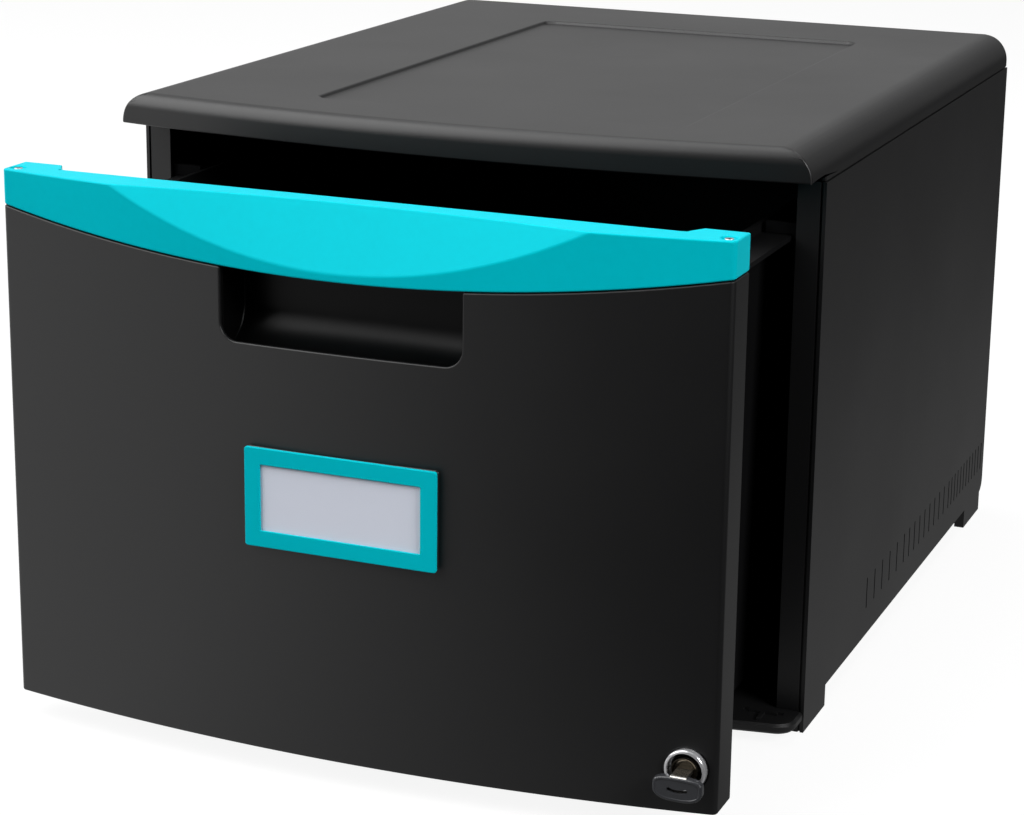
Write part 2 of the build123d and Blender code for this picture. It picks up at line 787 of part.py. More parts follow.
# Drawer front: a bowed shell open at the back, with a cupped finger pull under its top
# edge, a flat pad for the label and a thick seat for the lock
pad_front_y = face_middle_y - label_proud + label_frame_thickness
pull_left_x = pull_offset_x - pull_width / 2 - pull_lip
pull_space_bottom_z = pull_bottom_z - pull_dip
pull_back_y = face_middle_y + pull_depth
label_place = (label_offset_x, label_centre_z)
trim_screw_points = [
    (x, face_corner_y + trim_screw_inset_y)
    for x in (trim_screw_inset_x - half_front, half_front - trim_screw_inset_x)
]
peg_spots = GridLocations(
    label_width - 2 * peg_inset, label_height - 2 * peg_inset, 2, 2
).local_locations


def pull_block(margin):
    """Cupped block behind the finger opening, larger all round by the margin."""
    front_y = face_middle_y + front_wall / 2
    low_z = pull_space_bottom_z - margin
    rear_y = pull_back_y + margin
    radius = pull_back_radius + margin
    with BuildPart() as block:
        with BuildSketch(side_view(pull_left_x - margin)):
            with BuildLine():
                Line((front_y, trim_top_z), (front_y, low_z))
                Line((front_y, low_z), (rear_y - radius, low_z))
                RadiusArc((rear_y - radius, low_z), (rear_y, low_z + radius), -radius)
                Line((rear_y, low_z + radius), (rear_y, trim_top_z))
                Line((rear_y, trim_top_z), (front_y, trim_top_z))
            make_face()
        extrude(amount=pull_width + 2 * pull_lip + 2 * margin)
    return block.part


def below_arch(gap):
    """Front view of everything that the arch cuts off, kept the gap away from it."""
    return above_arch(trim_end_z - gap, trim_middle_z - gap, 2 * overall_height)


with BuildPart() as front_hollow:
    with BuildSketch(Plane.XY.offset(front_bottom_z + front_wall)):
        add(bowed_plan(half_front - front_wall, face_corner_y + front_wall, drawer_back_y))
    extrude(amount=trim_top_z - front_bottom_z)
    with BuildSketch(front_view(drawer_back_y)):
        add(below_arch(trim_joint + front_wall))
    extrude(amount=overall_height, both=True, mode=Mode.SUBTRACT)
    with BuildSketch(front_view(drawer_back_y)):
        with Locations(*front_screw_points):
            RegularPolygon(boss_radius, head_sides)
    extrude(amount=flange_depth + front_bow, mode=Mode.SUBTRACT)

with BuildPart() as front_inserts:
    add(pull_block(pull_wall))
    with BuildSketch(front_view(boss_back_y)):
        with Locations((lock_x, lock_z)):
            RegularPolygon(lock_boss_radius, head_sides)
    extrude(amount=boss_back_y - lock_face_y + lock_boss_depth)
    with BuildSketch(Plane.XY.offset(trim_end_z)):
        with Locations(*trim_screw_points):
            RegularPolygon(boss_radius, head_sides)
    extrude(amount=-trim_boss_length)
    with BuildSketch(Plane.XY):
        add(bowed_plan(half_front - front_wall / 2, face_corner_y + front_wall / 2, drawer_back_y))
    extrude(amount=overall_height, mode=Mode.INTERSECT)

with BuildPart() as pull_space:
    add(pull_block(0))
    with BuildSketch(Plane.XY):
        add(bowed_plan(half_front - front_wall, face_corner_y + front_wall, drawer_back_y))
    extrude(amount=overall_height, mode=Mode.INTERSECT)

with BuildPart() as drawer_front:
    with BuildSketch(Plane.XY.offset(front_bottom_z)):
        add(bowed_plan(half_front, face_corner_y, drawer_back_y))
    extrude(amount=trim_top_z - front_bottom_z)
    outer_corners = drawer_front.edges().filter_by(Axis.Z).sort_by(Axis.Y)[:2]
    fillet(outer_corners, front_edge_radius)
    add(front_hollow.part, mode=Mode.SUBTRACT)
    add(front_inserts.part)
    with BuildSketch(front_view(pad_front_y)):
        with Locations(label_place):
            RectangleRounded(
                label_width - 2 * label_pad_inset,
                label_height - 2 * label_pad_inset,
                label_corner_radius - label_pad_inset,
            )
    extrude(amount=-label_pad_depth)
    with BuildSketch(front_view(pad_front_y)):
        with Locations(label_place):
            with Locations(*peg_spots):
                RegularPolygon(peg_radius + peg_clearance, screw_sides)
    extrude(amount=-peg_length - peg_clearance, mode=Mode.SUBTRACT)
    add(pull_space.part, mode=Mode.SUBTRACT)
    with BuildSketch(front_view(face_middle_y - cut_margin)):
        with Locations((pull_offset_x, pull_bottom_z)):
            RectangleRounded(
                pull_width,
                overall_height,
                pull_corner_radius,
                align=(Align.CENTER, Align.MIN),
            )
    extrude(amount=-pull_mouth_depth, mode=Mode.SUBTRACT)
    with BuildSketch(front_view(drawer_back_y)):
        add(below_arch(trim_joint))
    extrude(amount=overall_height, both=True, mode=Mode.SUBTRACT)
    with BuildSketch(front_view(lock_seat_y)):
        with Locations((lock_x, lock_z)):
            Circle(lock_ring_radius + lock_fit)
    extrude(amount=2 * lock_ring_thickness, mode=Mode.SUBTRACT)
    with BuildSketch(front_view(lock_seat_y)):
        with Locations((lock_x, lock_z)):
            Circle(lock_barrel_radius + lock_fit)
    extrude(amount=-flange_depth, mode=Mode.SUBTRACT)
    slot_left = cam_slot_left(front_bottom_z + front_wall)
    with BuildSketch(Plane.XY.offset(front_bottom_z)):
        with Locations(((slot_left + cam_slot_right) / 2, (cam_front_y + cam_back_y) / 2)):
            Rectangle(cam_slot_right - slot_left, cam_thickness + 2 * cam_sweep_room)
    extrude(amount=front_wall, mode=Mode.SUBTRACT)
    with BuildSketch(front_view(drawer_back_y)):
        with Locations(*front_screw_points):
            RegularPolygon(screw_radius + screw_clearance, screw_sides)
    extrude(amount=front_screw_length, mode=Mode.SUBTRACT)
    with BuildSketch(Plane.XY.offset(trim_end_z)):
        with Locations(*trim_screw_points):
            RegularPolygon(screw_radius + screw_clearance, screw_sides)
    extrude(amount=pilot_margin - trim_boss_length, mode=Mode.SUBTRACT)
drawer_front.part.label = "drawer_front"
export_step(drawer_front.part, "parts/drawer_front.step")
print("drawer_front", drawer_front.part.is_valid, len(drawer_front.part.solids()))

# Front trim: a bright hood that caps the drawer front along the arch, scooped out in the
# middle above the finger pull and set back behind between its two full-depth ends
scoop_radius = (scoop_half_width**2 + scoop_sag**2) / (2 * scoop_sag)
scoop_reach = scoop_half_width + 2 * flange_depth


def trim_plan(inset):
    """Plan of the trim, smaller all round by the inset."""
    half = half_front - inset
    corner_y = face_corner_y + inset
    end_y = drawer_back_y - inset
    middle_y = end_y - trim_setback
    ramp_in = trim_setback_half + inset
    ramp_out = ramp_in + trim_ramp
    with BuildSketch() as plan:
        with BuildLine():
            ThreePointArc((-half, corner_y), (0, corner_y - front_bow), (half, corner_y))
            Polyline(
                (half, corner_y),
                (half, end_y),
                (ramp_out, end_y),
                (ramp_in, middle_y),
                (-ramp_in, middle_y),
                (-ramp_out, end_y),
                (-half, end_y),
                (-half, corner_y),
            )
        make_face()
        ramp_feet = plan.vertices().filter_by(lambda point: abs(point.Y - middle_y) < cut_margin)
        fillet(ramp_feet, trim_ramp_radius)
    return plan.sketch


def scoop_block(setback):
    """Slanted block that hollows the trim out in front, moved back by the setback."""
    middle_y = face_middle_y + scoop_setback + setback
    end_y = middle_y - scoop_radius + sqrt(scoop_radius**2 - scoop_reach**2)
    with BuildPart() as block:
        with BuildSketch(Plane.XY.offset(trim_top_z)):
            with BuildLine():
                ThreePointArc((-scoop_reach, end_y), (0, middle_y), (scoop_reach, end_y))
                Line((scoop_reach, end_y), (scoop_reach, end_y - overall_height))
                Line((scoop_reach, end_y - overall_height), (-scoop_reach, end_y - overall_height))
                Line((-scoop_reach, end_y - overall_height), (-scoop_reach, end_y))
            make_face()
        extrude(amount=2 * scoop_height, dir=(0, -scoop_setback, -scoop_height), both=True)
    return block.part


with BuildPart() as trim_hollow:
    with BuildSketch(Plane.XY.offset(trim_middle_z - cut_margin)):
        add(trim_plan(trim_wall))
    extrude(amount=trim_top_z - trim_wall - trim_middle_z + cut_margin)
    add(scoop_block(scoop_wall), mode=Mode.SUBTRACT)
    with BuildSketch(Plane.XY.offset(trim_top_z)):
        with Locations(*trim_screw_points):
            RegularPolygon(boss_radius, head_sides)
    extrude(amount=-overall_height, mode=Mode.SUBTRACT)

with BuildPart() as front_trim:
    with BuildSketch(Plane.XY.offset(trim_middle_z)):
        add(trim_plan(0))
    extrude(amount=trim_top_z - trim_middle_z)
    fillet(front_trim.edges().filter_by(Axis.Z).sort_by(Axis.Y)[:2], front_edge_radius)
    chamfer(front_trim.faces().sort_by(Axis.Z)[-1].edges(), trim_edge_bevel)
    add(scoop_block(0), mode=Mode.SUBTRACT)
    add(trim_hollow.part, mode=Mode.SUBTRACT)
    with BuildSketch(front_view(drawer_back_y)):
        add(above_arch(trim_end_z, trim_middle_z, 2 * overall_height))
    extrude(amount=overall_height, both=True, mode=Mode.INTERSECT)
    with BuildSketch(Plane.XY.offset(trim_top_z)):
        with Locations(*trim_screw_points):
            Circle(trim_dimple_radius)
    extrude(amount=-trim_dimple_depth, mode=Mode.SUBTRACT)
    with BuildSketch(Plane.XY.offset(trim_top_z)):
        with Locations(*trim_screw_points):
            RegularPolygon(screw_radius + screw_clearance, screw_sides)
    extrude(amount=-overall_height, mode=Mode.SUBTRACT)
front_trim.part.label = "front_trim"
export_step(front_trim.part, "parts/front_trim.step")
print("front_trim", front_trim.part.is_valid, len(front_trim.part.solids()))

# Label frame with its card behind the window, held by four pegs
window_width = label_width - 2 * label_border
window_height = label_height - 2 * label_border
card_recess = card_thickness + card_clearance

with BuildPart() as label_frame:
    with BuildSketch(front_view(pad_front_y)):
        with Locations(label_place):
            RectangleRounded(label_width, label_height, label_corner_radius)
            Rectangle(window_width, window_height, mode=Mode.SUBTRACT)
    extrude(amount=label_frame_thickness)
    chamfer(label_frame.faces().sort_by(Axis.Y)[0].outer_wire().edges(), label_bevel)
    with BuildSketch(front_view(pad_front_y)):
        with Locations(label_place):
            Rectangle(window_width + 2 * card_margin, window_height + 2 * card_margin)
    extrude(amount=card_recess, mode=Mode.SUBTRACT)
    with BuildSketch(front_view(pad_front_y)):
        with Locations(label_place):
            with Locations(*peg_spots):
                RegularPolygon(peg_radius, screw_sides)
    extrude(amount=-peg_length)
label_frame.part.label = "label_frame"
export_step(label_frame.part, "parts/label_frame.step")
print("label_frame", label_frame.part.is_valid, len(label_frame.part.solids()))

with BuildPart() as label_card:
    with BuildSketch(front_view(pad_front_y)):
        with Locations(label_place):
            Rectangle(
                window_width + 2 * card_margin - 2 * card_clearance,
                window_height + 2 * card_margin - 2 * card_clearance,
            )
    extrude(amount=card_thickness)
label_card.part.label = "label_card"
export_step(label_card.part, "parts/label_card.step")

# Lock: a ringed housing through the front, a nut behind it, and a turning plug that
# carries the cam
plug_front_y = ring_front_y + plug_setback
plug_back_y = cam_back_y - cam_seat_gap


def lock_bar(start_y, end_y, radius):
    """Round bar on the axis of the lock between two places along the depth."""
    with BuildPart() as bar:
        with Locations(rearward(lock_x, start_y, lock_z)):
            Cylinder(radius, end_y - start_y, align=(Align.CENTER, Align.CENTER, Align.MIN))
    return bar.part


with BuildPart() as lock_housing:
    add(lock_bar(ring_front_y, lock_seat_y, lock_ring_radius))
    add(lock_bar(lock_seat_y, barrel_back_y, lock_barrel_radius))
    add(lock_bar(ring_front_y, barrel_back_y, plug_radius + plug_fit), mode=Mode.SUBTRACT)
lock_housing.part.label = "lock_housing"
export_step(lock_housing.part, "parts/lock_housing.step")
print("lock_housing", lock_housing.part.is_valid, len(lock_housing.part.solids()))

with BuildPart() as lock_nut:
    with BuildSketch(front_view(boss_back_y)):
        with Locations((lock_x, lock_z)):
            RegularPolygon(nut_radius, 6)
            Circle(lock_barrel_radius + nut_gap, mode=Mode.SUBTRACT)
    extrude(amount=-nut_thickness)
lock_nut.part.label = "lock_nut"
export_step(lock_nut.part, "parts/lock_nut.step")

with BuildPart() as lock_plug:
    add(lock_bar(plug_front_y, barrel_back_y, plug_radius))
    with BuildSketch(front_view(plug_back_y)):
        with Locations((lock_x, lock_z)):
            Rectangle(plug_tail_side, plug_tail_side)
    extrude(amount=plug_back_y - barrel_back_y)
    with BuildSketch(front_view(plug_front_y)):
        with Locations((lock_x, lock_z)):
            Rectangle(keyway_width, keyway_height)
    extrude(amount=-keyway_depth, mode=Mode.SUBTRACT)
    with BuildSketch(front_view(plug_back_y)):
        with Locations((lock_x, lock_z)):
            RegularPolygon(cam_screw_radius + screw_clearance, screw_sides)
    extrude(amount=cam_screw_length, mode=Mode.SUBTRACT)
lock_plug.part.label = "lock_plug"
export_step(lock_plug.part, "parts/lock_plug.step")
print("lock_plug", lock_plug.part.is_valid, len(lock_plug.part.solids()))

with BuildPart() as lock_cam:
    with BuildSketch(front_view(cam_front_y)):
        with Locations((lock_x, lock_z)):
            Circle(cam_width / 2)
            Rectangle(cam_length, cam_width, align=(Align.MAX, Align.CENTER))
            tail_hole = plug_tail_side + 2 * screw_clearance
            Rectangle(tail_hole, tail_hole, mode=Mode.SUBTRACT)
    extrude(amount=-cam_thickness)
    fillet(lock_cam.edges().filter_by(Axis.Y).sort_by(Axis.X)[:2], cam_width / 6)
lock_cam.part.label = "lock_cam"
export_step(lock_cam.part, "parts/lock_cam.step")
print("lock_cam", lock_cam.part.is_valid, len(lock_cam.part.solids()))

with BuildPart() as cam_screw:
    with BuildSketch(front_view(cam_back_y)):
        with Locations((lock_x, lock_z)):
            RegularPolygon(cam_screw_head_radius, head_sides)
    extrude(amount=-cam_screw_head_height)
    with BuildSketch(front_view(cam_back_y)):
        with Locations((lock_x, lock_z)):
            RegularPolygon(cam_screw_radius, screw_sides)
    extrude(amount=cam_screw_length)
cam_screw.part.label = "cam_screw"
export_step(cam_screw.part, "parts/cam_screw.step")

# Key: a notched blade with a knuckle, a pin through it, and a folding head
pin_y = ring_front_y - key_reach
pin_z = lock_z + (keyway_height - 2 * key_clearance) / 2 - knuckle_radius
pin_place = Plane(origin=(lock_x, pin_y, pin_z), x_dir=(0, 1, 0), z_dir=(1, 0, 0))
blade_width = keyway_width - 2 * key_clearance
blade_thickness = keyway_height - 2 * key_clearance
blade_tip_y = plug_front_y + keyway_depth - key_tip_room

with BuildPart() as key_blade:
    with BuildSketch(Plane.XY.offset(lock_z - blade_thickness / 2)) as blade_outline:
        with Locations((lock_x, pin_y)):
            Rectangle(blade_width, blade_tip_y - pin_y, align=(Align.CENTER, Align.MIN))
        chamfer(blade_outline.vertices().sort_by(Axis.Y)[-2:], key_tip_chamfer)
        for number, depth in enumerate(key_cut_depths):
            cut_y = plug_front_y + key_cut_start + number * key_cut_pitch
            with Locations((lock_x - blade_width / 2, cut_y)):
                Rectangle(2 * depth, key_cut_width, mode=Mode.SUBTRACT)
    extrude(amount=blade_thickness)
    with Locations(pin_place):
        Cylinder(knuckle_radius, knuckle_width)
        Cylinder(pin_radius + pin_fit, knuckle_width, mode=Mode.SUBTRACT)
key_blade.part.label = "key_blade"
export_step(key_blade.part, "parts/key_blade.step")
print("key_blade", key_blade.part.is_valid, len(key_blade.part.solids()))

with BuildPart() as key_pin:
    with Locations(pin_place):
        Cylinder(pin_radius, pin_length)
key_pin.part.label = "key_pin"
export_step(key_pin.part, "parts/key_pin.step")

head_left_x = lock_x - head_width / 2
head_right_x = lock_x + head_width / 2
head_top_z = pin_z + head_rise
shoulder_z = pin_z - head_shoulder
notch_front_y = pin_y - knuckle_radius - head_notch_room
head_rear_y = pin_y + head_rear
head_thickness = head_rear_y - notch_front_y + head_skin

with BuildPart() as key_head:
    with BuildSketch(front_view(head_rear_y)):
        with BuildLine():
            Polyline(
                (head_left_x, shoulder_z),
                (head_left_x, head_top_z),
                (head_right_x, head_top_z),
                (head_right_x, shoulder_z),
            )
            ThreePointArc(
                (head_right_x, shoulder_z),
                (lock_x, pin_z - head_drop),
                (head_left_x, shoulder_z),
            )
        make_face()
    extrude(amount=head_thickness)
    fillet(key_head.edges().filter_by(Axis.Y).group_by(Axis.Z)[-1], head_corner_radius)
    with BuildSketch(front_view(notch_front_y)):
        with Locations((lock_x, pin_z - knuckle_radius - head_notch_room)):
            Rectangle(
                knuckle_width + 2 * head_notch_room,
                2 * head_thickness,
                align=(Align.CENTER, Align.MIN),
            )
    extrude(amount=-head_thickness, mode=Mode.SUBTRACT)
    with BuildSketch(front_view(head_rear_y)):
        SlotArc(
            CenterArc(
                (lock_x, pin_z - head_eye_drop + head_eye_radius),
                head_eye_radius,
                -90 - head_eye_half_angle,
                2 * head_eye_half_angle,
            ),
            head_eye_height,
        )
    extrude(amount=head_thickness, mode=Mode.SUBTRACT)
    with Locations(pin_place):
        Cylinder(pin_radius + pin_fit, pin_length + 2 * pin_fit, mode=Mode.SUBTRACT)
key_head.part.label = "key_head"
export_step(key_head.part, "parts/key_head.step")
print("key_head", key_head.part.is_valid, len(key_head.part.solids()))

# Screws, one set for each joint between two parts
screw_set(
    "cover_screws",
    [Plane(origin=(x, y, side_top_z - flange_wall)) for x, y in cover_screw_points],
    cover_screw_length,
)
screw_set(
    "floor_screws",
    [Plane(origin=(x, y, floor_bottom_z + counterbore_depth)) for x, y in cover_screw_points],
    floor_screw_length,
)
screw_set(
    "back_screws",
    [forward(x, back_panel_y + back_wall, back_screw_z) for x in back_screw_xs],
    back_screw_length,
)
screw_set(
    "runner_screws",
    [
        Plane(origin=(side * web_inner_x, y, runner_screw_z), x_dir=(0, 1, 0), z_dir=(side, 0, 0))
        for side in (-1, 1)
        for y in runner_screw_ys
    ],
    runner_screw_length,
)
screw_set(
    "front_screws",
    [forward(x, tub_front_y + tub_wall, z) for x, z in front_screw_points],
    front_screw_length,
)
screw_set(
    "trim_screws",
    [
        Plane(origin=(x, y, trim_top_z - trim_dimple_depth), z_dir=(0, 0, -1))
        for x, y in trim_screw_points
    ],
    trim_screw_length,
    trim_head_radius,
    trim_head_height,
)
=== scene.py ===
# %% [markdown]
# # A one-drawer file box in black and teal plastic
# The box was drawn as solid parts first, at its real size. This lesson loads those parts as a
# fixed frame, sets a photographer's table round them, gives each plastic and metal its finish,
# and models again the pieces that need rounder edges and finer faces than the solids have.

import json
from math import cos, pi, radians, sin, sqrt

import bmesh
import bpy
from mathutils import Matrix, Vector

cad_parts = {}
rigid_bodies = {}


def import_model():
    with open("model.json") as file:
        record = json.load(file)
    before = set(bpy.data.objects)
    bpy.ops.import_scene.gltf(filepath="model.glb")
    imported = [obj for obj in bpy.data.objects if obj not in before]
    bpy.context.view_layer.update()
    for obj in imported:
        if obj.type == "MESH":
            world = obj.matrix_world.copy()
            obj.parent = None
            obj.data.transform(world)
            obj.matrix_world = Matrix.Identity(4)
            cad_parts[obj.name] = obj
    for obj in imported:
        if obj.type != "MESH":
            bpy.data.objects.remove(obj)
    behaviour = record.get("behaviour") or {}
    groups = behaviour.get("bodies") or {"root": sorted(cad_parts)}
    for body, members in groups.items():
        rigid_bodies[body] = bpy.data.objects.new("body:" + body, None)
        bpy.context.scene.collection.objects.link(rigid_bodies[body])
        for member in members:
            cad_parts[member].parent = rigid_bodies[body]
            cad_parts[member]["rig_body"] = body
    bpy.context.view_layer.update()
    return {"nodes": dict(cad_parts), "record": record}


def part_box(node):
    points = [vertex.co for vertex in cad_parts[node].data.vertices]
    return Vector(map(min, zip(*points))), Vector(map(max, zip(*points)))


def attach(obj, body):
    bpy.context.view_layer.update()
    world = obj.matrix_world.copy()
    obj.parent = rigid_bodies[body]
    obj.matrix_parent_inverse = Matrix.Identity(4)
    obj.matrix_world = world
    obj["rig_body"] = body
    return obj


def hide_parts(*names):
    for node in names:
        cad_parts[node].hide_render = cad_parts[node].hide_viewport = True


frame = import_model()
MM = 0.001

# %% [markdown]
# ## Camera
# The camera stood in front of the box and to its right, about one and a half metres away and
# 23 cm above its top. Azimuth turns round the box, elevation lifts the camera, and roll is the
# small tilt that hand-held pictures have. The picture was then cropped, which a small lens shift
# repeats. These few numbers are easier to fit than a free matrix.

# %% Place the camera
PICTURE_WIDTH = 1024
PICTURE_HEIGHT = 815
AZIMUTH = radians(22.028)
ELEVATION = radians(15.116)
ROLL = radians(0.815)
DISTANCE = 1463.97 * MM
AIM = Vector((2.02, -47.80, 161.55)) * MM
FOCAL_PIXELS = 2637.24
CENTRE_PIXEL = (525.53, 357.19)
SENSOR = 36.0

camera_data = bpy.data.cameras.new("camera")
camera = bpy.data.objects.new("camera", camera_data)
bpy.context.scene.collection.objects.link(camera)
turn = Matrix.Rotation(AZIMUTH, 4, "Z") @ Matrix.Rotation(pi / 2 - ELEVATION, 4, "X")
back = turn.to_3x3() @ Vector((0, 0, 1))
camera.matrix_world = Matrix.Translation(AIM + back * DISTANCE) @ turn @ Matrix.Rotation(ROLL, 4, "Z")
camera_data.sensor_width = SENSOR
camera_data.lens = FOCAL_PIXELS * SENSOR / PICTURE_WIDTH
camera_data.shift_x = (PICTURE_WIDTH / 2 - CENTRE_PIXEL[0]) / PICTURE_WIDTH
camera_data.shift_y = (CENTRE_PIXEL[1] - PICTURE_HEIGHT / 2) / PICTURE_WIDTH
bpy.context.scene.camera = camera
bpy.context.scene.view_settings.view_transform = "Standard"
print("camera", camera.matrix_world.translation, "lens", camera_data.lens)

# %% [markdown]
# ## Shader sums in Python
# A finish is a sum over patterns: a base colour, a slow cloud and a fine grain. Wired by hand,
# such sums are slow to read, so a small class wraps a socket and turns +, - and * into Math
# nodes. Every other node comes from one method, which sets it up and feeds its sockets.

# %% Wrap sockets so that they can be added and multiplied
class Signal:
    """A number, colour, vector or shader that a node gives, for use in Python sums."""

    def __init__(self, graph, socket):
        self.graph = graph
        self.socket = socket

    def maths(self, operation, first, second):
        return self.graph.node("ShaderNodeMath", {"operation": operation}, [first, second])

    def __add__(self, other):
        return self.maths("ADD", self, other)

    def __sub__(self, other):
        return self.maths("SUBTRACT", self, other)

    def __rsub__(self, other):
        return self.maths("SUBTRACT", other, self)

    def __mul__(self, other):
        return self.maths("MULTIPLY", self, other)

    __radd__ = __add__
    __rmul__ = __mul__

    def clamped(self):
        """The same number, held between 0 and 1."""
        settings = {"operation": "ADD", "use_clamp": True}
        return self.graph.node("ShaderNodeMath", settings, [self, 0.0])

    def fade(self, start, end, low=0.0, high=1.0):
        """A soft step from low to high while this number goes from start to end."""
        sockets = {"Value": self, "From Min": start, "From Max": end, "To Min": low, "To Max": high}
        return self.graph.node(
            "ShaderNodeMapRange", {"interpolation_type": "SMOOTHSTEP"}, sockets
        )


print("sums ready")


# %% Build node trees
def rgba(red, green, blue):
    return (red, green, blue, 1.0)


class Graph:
    """A node tree, built one expression at a time."""

    def __init__(self, tree):
        self.tree = tree

    def node(self, kind, settings=None, inputs=(), output=0):
        """Adds a node, sets its settings first and then its inputs, and gives one output."""
        made = self.tree.nodes.new(kind)
        for key, value in (settings or {}).items():
            setattr(made, key, value)
        pairs = inputs.items() if isinstance(inputs, dict) else enumerate(inputs)
        for key, value in pairs:
            self.feed(made.inputs[key], value)
        return Signal(self, made.outputs[output])

    def feed(self, socket, value):
        if isinstance(value, Signal):
            self.tree.links.new(value.socket, socket)
        else:
            socket.default_value = value

    def place(self):
        return self.node("ShaderNodeTexCoord", output="Object")

    def axes(self):
        """The place across, into and up the box, as three numbers."""
        apart = self.node("ShaderNodeSeparateXYZ", {}, [self.place()])
        return [Signal(self, output) for output in apart.socket.node.outputs]

    def rays(self, *kinds):
        """Is 1 for rays of the given kinds, as a Light Path node tells them apart."""
        path = self.node("ShaderNodeLightPath").socket.node
        found = [Signal(self, path.outputs[kind]) for kind in kinds]
        return sum(found[1:], found[0])

    def noise(self, size, detail=2.0, roughness=0.5):
        """Cloudy noise whose blobs are about size across, in metres."""
        sockets = {"Scale": 1.0 / size, "Detail": detail, "Roughness": roughness}
        return self.node("ShaderNodeTexNoise", {}, {"Vector": self.place(), **sockets})

    def mix_colour(self, share, first, second):
        """Goes from the first colour to the second as the share goes from 0 to 1."""
        return self.node(
            "ShaderNodeMix", {"data_type": "RGBA"}, {0: share, 6: first, 7: second}, output=2
        )

    def bump(self, height, strength, distance):
        sockets = {"Strength": strength, "Distance": distance, "Height": height}
        return self.node("ShaderNodeBump", {}, sockets)


class Finish(Graph):
    """The node tree of one material, with its surface shader."""

    def __init__(self, name):
        self.material = bpy.data.materials.new(name)
        self.material.use_nodes = True
        super().__init__(self.material.node_tree)
        self.shader = self.tree.nodes["Principled BSDF"]

    def set(self, **values):
        """Sets sockets of the surface shader: Base_Color=..., Roughness=..."""
        for key, value in values.items():
            self.feed(self.shader.inputs[key.replace("_", " ")], value)


print("node trees ready")

# %% [markdown]
# ## Table and light
# The picture has a plain white ground. The floor here is a grey sheet. The camera sees it lifted
# to white, so that a soft shadow stays on it without more light on the box. Gloss sees it lit at
# the left and weakly beside the box at the right. The rest is as dark as a black cloth, because
# black plastic shows its shape by what it mirrors.

# %% Floor sheet
FLOOR_SIZE = 12.0
FLOOR_DROP = 0.2 * MM
FLOOR_GREY = 0.12
FLOOR_GLOW = 0.90
FACE_Y = -0.285
CLOTH_SLANT = 0.405
LEFT_FADE = (0.36, -0.32)
LEFT_LEVEL = 1.17  # above 1, so that the sheet is fully lit before its fade ends
SIDE_FADE = (0.20, 0.70)
SIDE_NEAR_LEVEL = 0.29
SIDE_FAR_LEVEL = 0.04
BESIDE_X = (0.0, 0.18)
BESIDE_Y = (-0.22, -0.06)

sheet = Finish("floor_sheet")
floor_x, floor_y = sheet.axes()[:2]
slant = floor_x - (floor_y - FACE_Y) * CLOTH_SLANT
left_light = slant.fade(*LEFT_FADE, 0.0, LEFT_LEVEL)
side_light = floor_x.fade(*SIDE_FADE, SIDE_NEAR_LEVEL, SIDE_FAR_LEVEL)
beside = floor_x.fade(*BESIDE_X) * floor_y.fade(*BESIDE_Y)
gloss_level = left_light * (1.0 - beside) + side_light * beside
gloss_share = sheet.rays("Is Glossy Ray", "Is Transmission Ray")
glow_share = sheet.rays("Is Camera Ray") + gloss_share * gloss_level
grey = rgba(FLOOR_GREY, FLOOR_GREY, FLOOR_GREY)
sheet.set(
    Base_Color=sheet.mix_colour(gloss_share, grey, rgba(0, 0, 0)),
    Roughness=0.9,
    Specular_IOR_Level=0.0,
    Emission_Color=sheet.mix_colour(glow_share, rgba(0, 0, 0), rgba(1, 1, 1)),
    Emission_Strength=FLOOR_GLOW,
)

bpy.ops.object.select_all(action="DESELECT")
bpy.ops.mesh.primitive_plane_add(size=FLOOR_SIZE, location=(0, 0, -FLOOR_DROP))
floor = bpy.context.object
floor.name = "floor"
floor.data.materials.append(sheet.material)
print("floor", FLOOR_SIZE)

# %% Room
ROOM_LEVEL = 0.02
BACK_LEFT = (-0.6, 0.8, 0.0)
BACK_LEFT_FADE = (0.35, 0.90)
BACK_LEFT_LEVEL = 0.57

world = bpy.data.worlds.new("studio")
bpy.context.scene.world = world
world.use_nodes = True
room = Graph(world.node_tree)
direction = room.node("ShaderNodeTexCoord", output="Generated")
toward = room.node(
    "ShaderNodeVectorMath", {"operation": "DOT_PRODUCT"}, [direction, BACK_LEFT], output="Value"
)
room_light = toward.fade(*BACK_LEFT_FADE, ROOM_LEVEL, BACK_LEFT_LEVEL)
seen = room.mix_colour(room.rays("Is Camera Ray"), room_light, rgba(1, 1, 1))
room.feed(room.tree.nodes["Background"].inputs["Color"], seen)
print("room", ROOM_LEVEL, "to", BACK_LEFT_LEVEL)

# %% [markdown]
# The lamps are soft boxes, as in a studio. The main one stands high at the front left, a weaker
# one lights the right side, and one overhead fills the top. The main one is very large, because
# a small bright lamp would leave a hard streak along the lid's round front.

# %% Soft boxes
AIM_POINT = Vector((0.0, -0.05, 0.15))


def soft_box(name, place, side, watts):
    """A square lamp that looks at the middle of the box."""
    data = bpy.data.lights.new(name, "AREA")
    data.shape = "SQUARE"
    data.size = side
    data.energy = watts
    lamp = bpy.data.objects.new(name, data)
    lamp.location = place
    lamp.rotation_euler = (AIM_POINT - Vector(place)).to_track_quat("-Z", "Y").to_euler()
    bpy.context.scene.collection.objects.link(lamp)


soft_box("main_box", place=(-1.95, -1.15, 2.20), side=3.8, watts=174)
soft_box("overhead_box", place=(0.0, 0.4, 2.2), side=1.8, watts=24)
soft_box("right_box", place=(1.95, -0.90, 1.30), side=1.0, watts=42)

# %% [markdown]
# ## Finishes
# The shells are moulded in plastic that is coloured through, and the spark-eroded mould leaves a
# fine grain. A slow cloud changes the gloss a little, as handling does. Noise laid out in real
# millimetres fits every piece without a seam, which a picture of plastic would not.

# %% Moulded plastic
CLOUD_SIZE = 110 * MM
MOTTLE_SIZE = 4 * MM
GRAIN_SIZE = 0.6 * MM
SHADE_SPREAD = 0.1


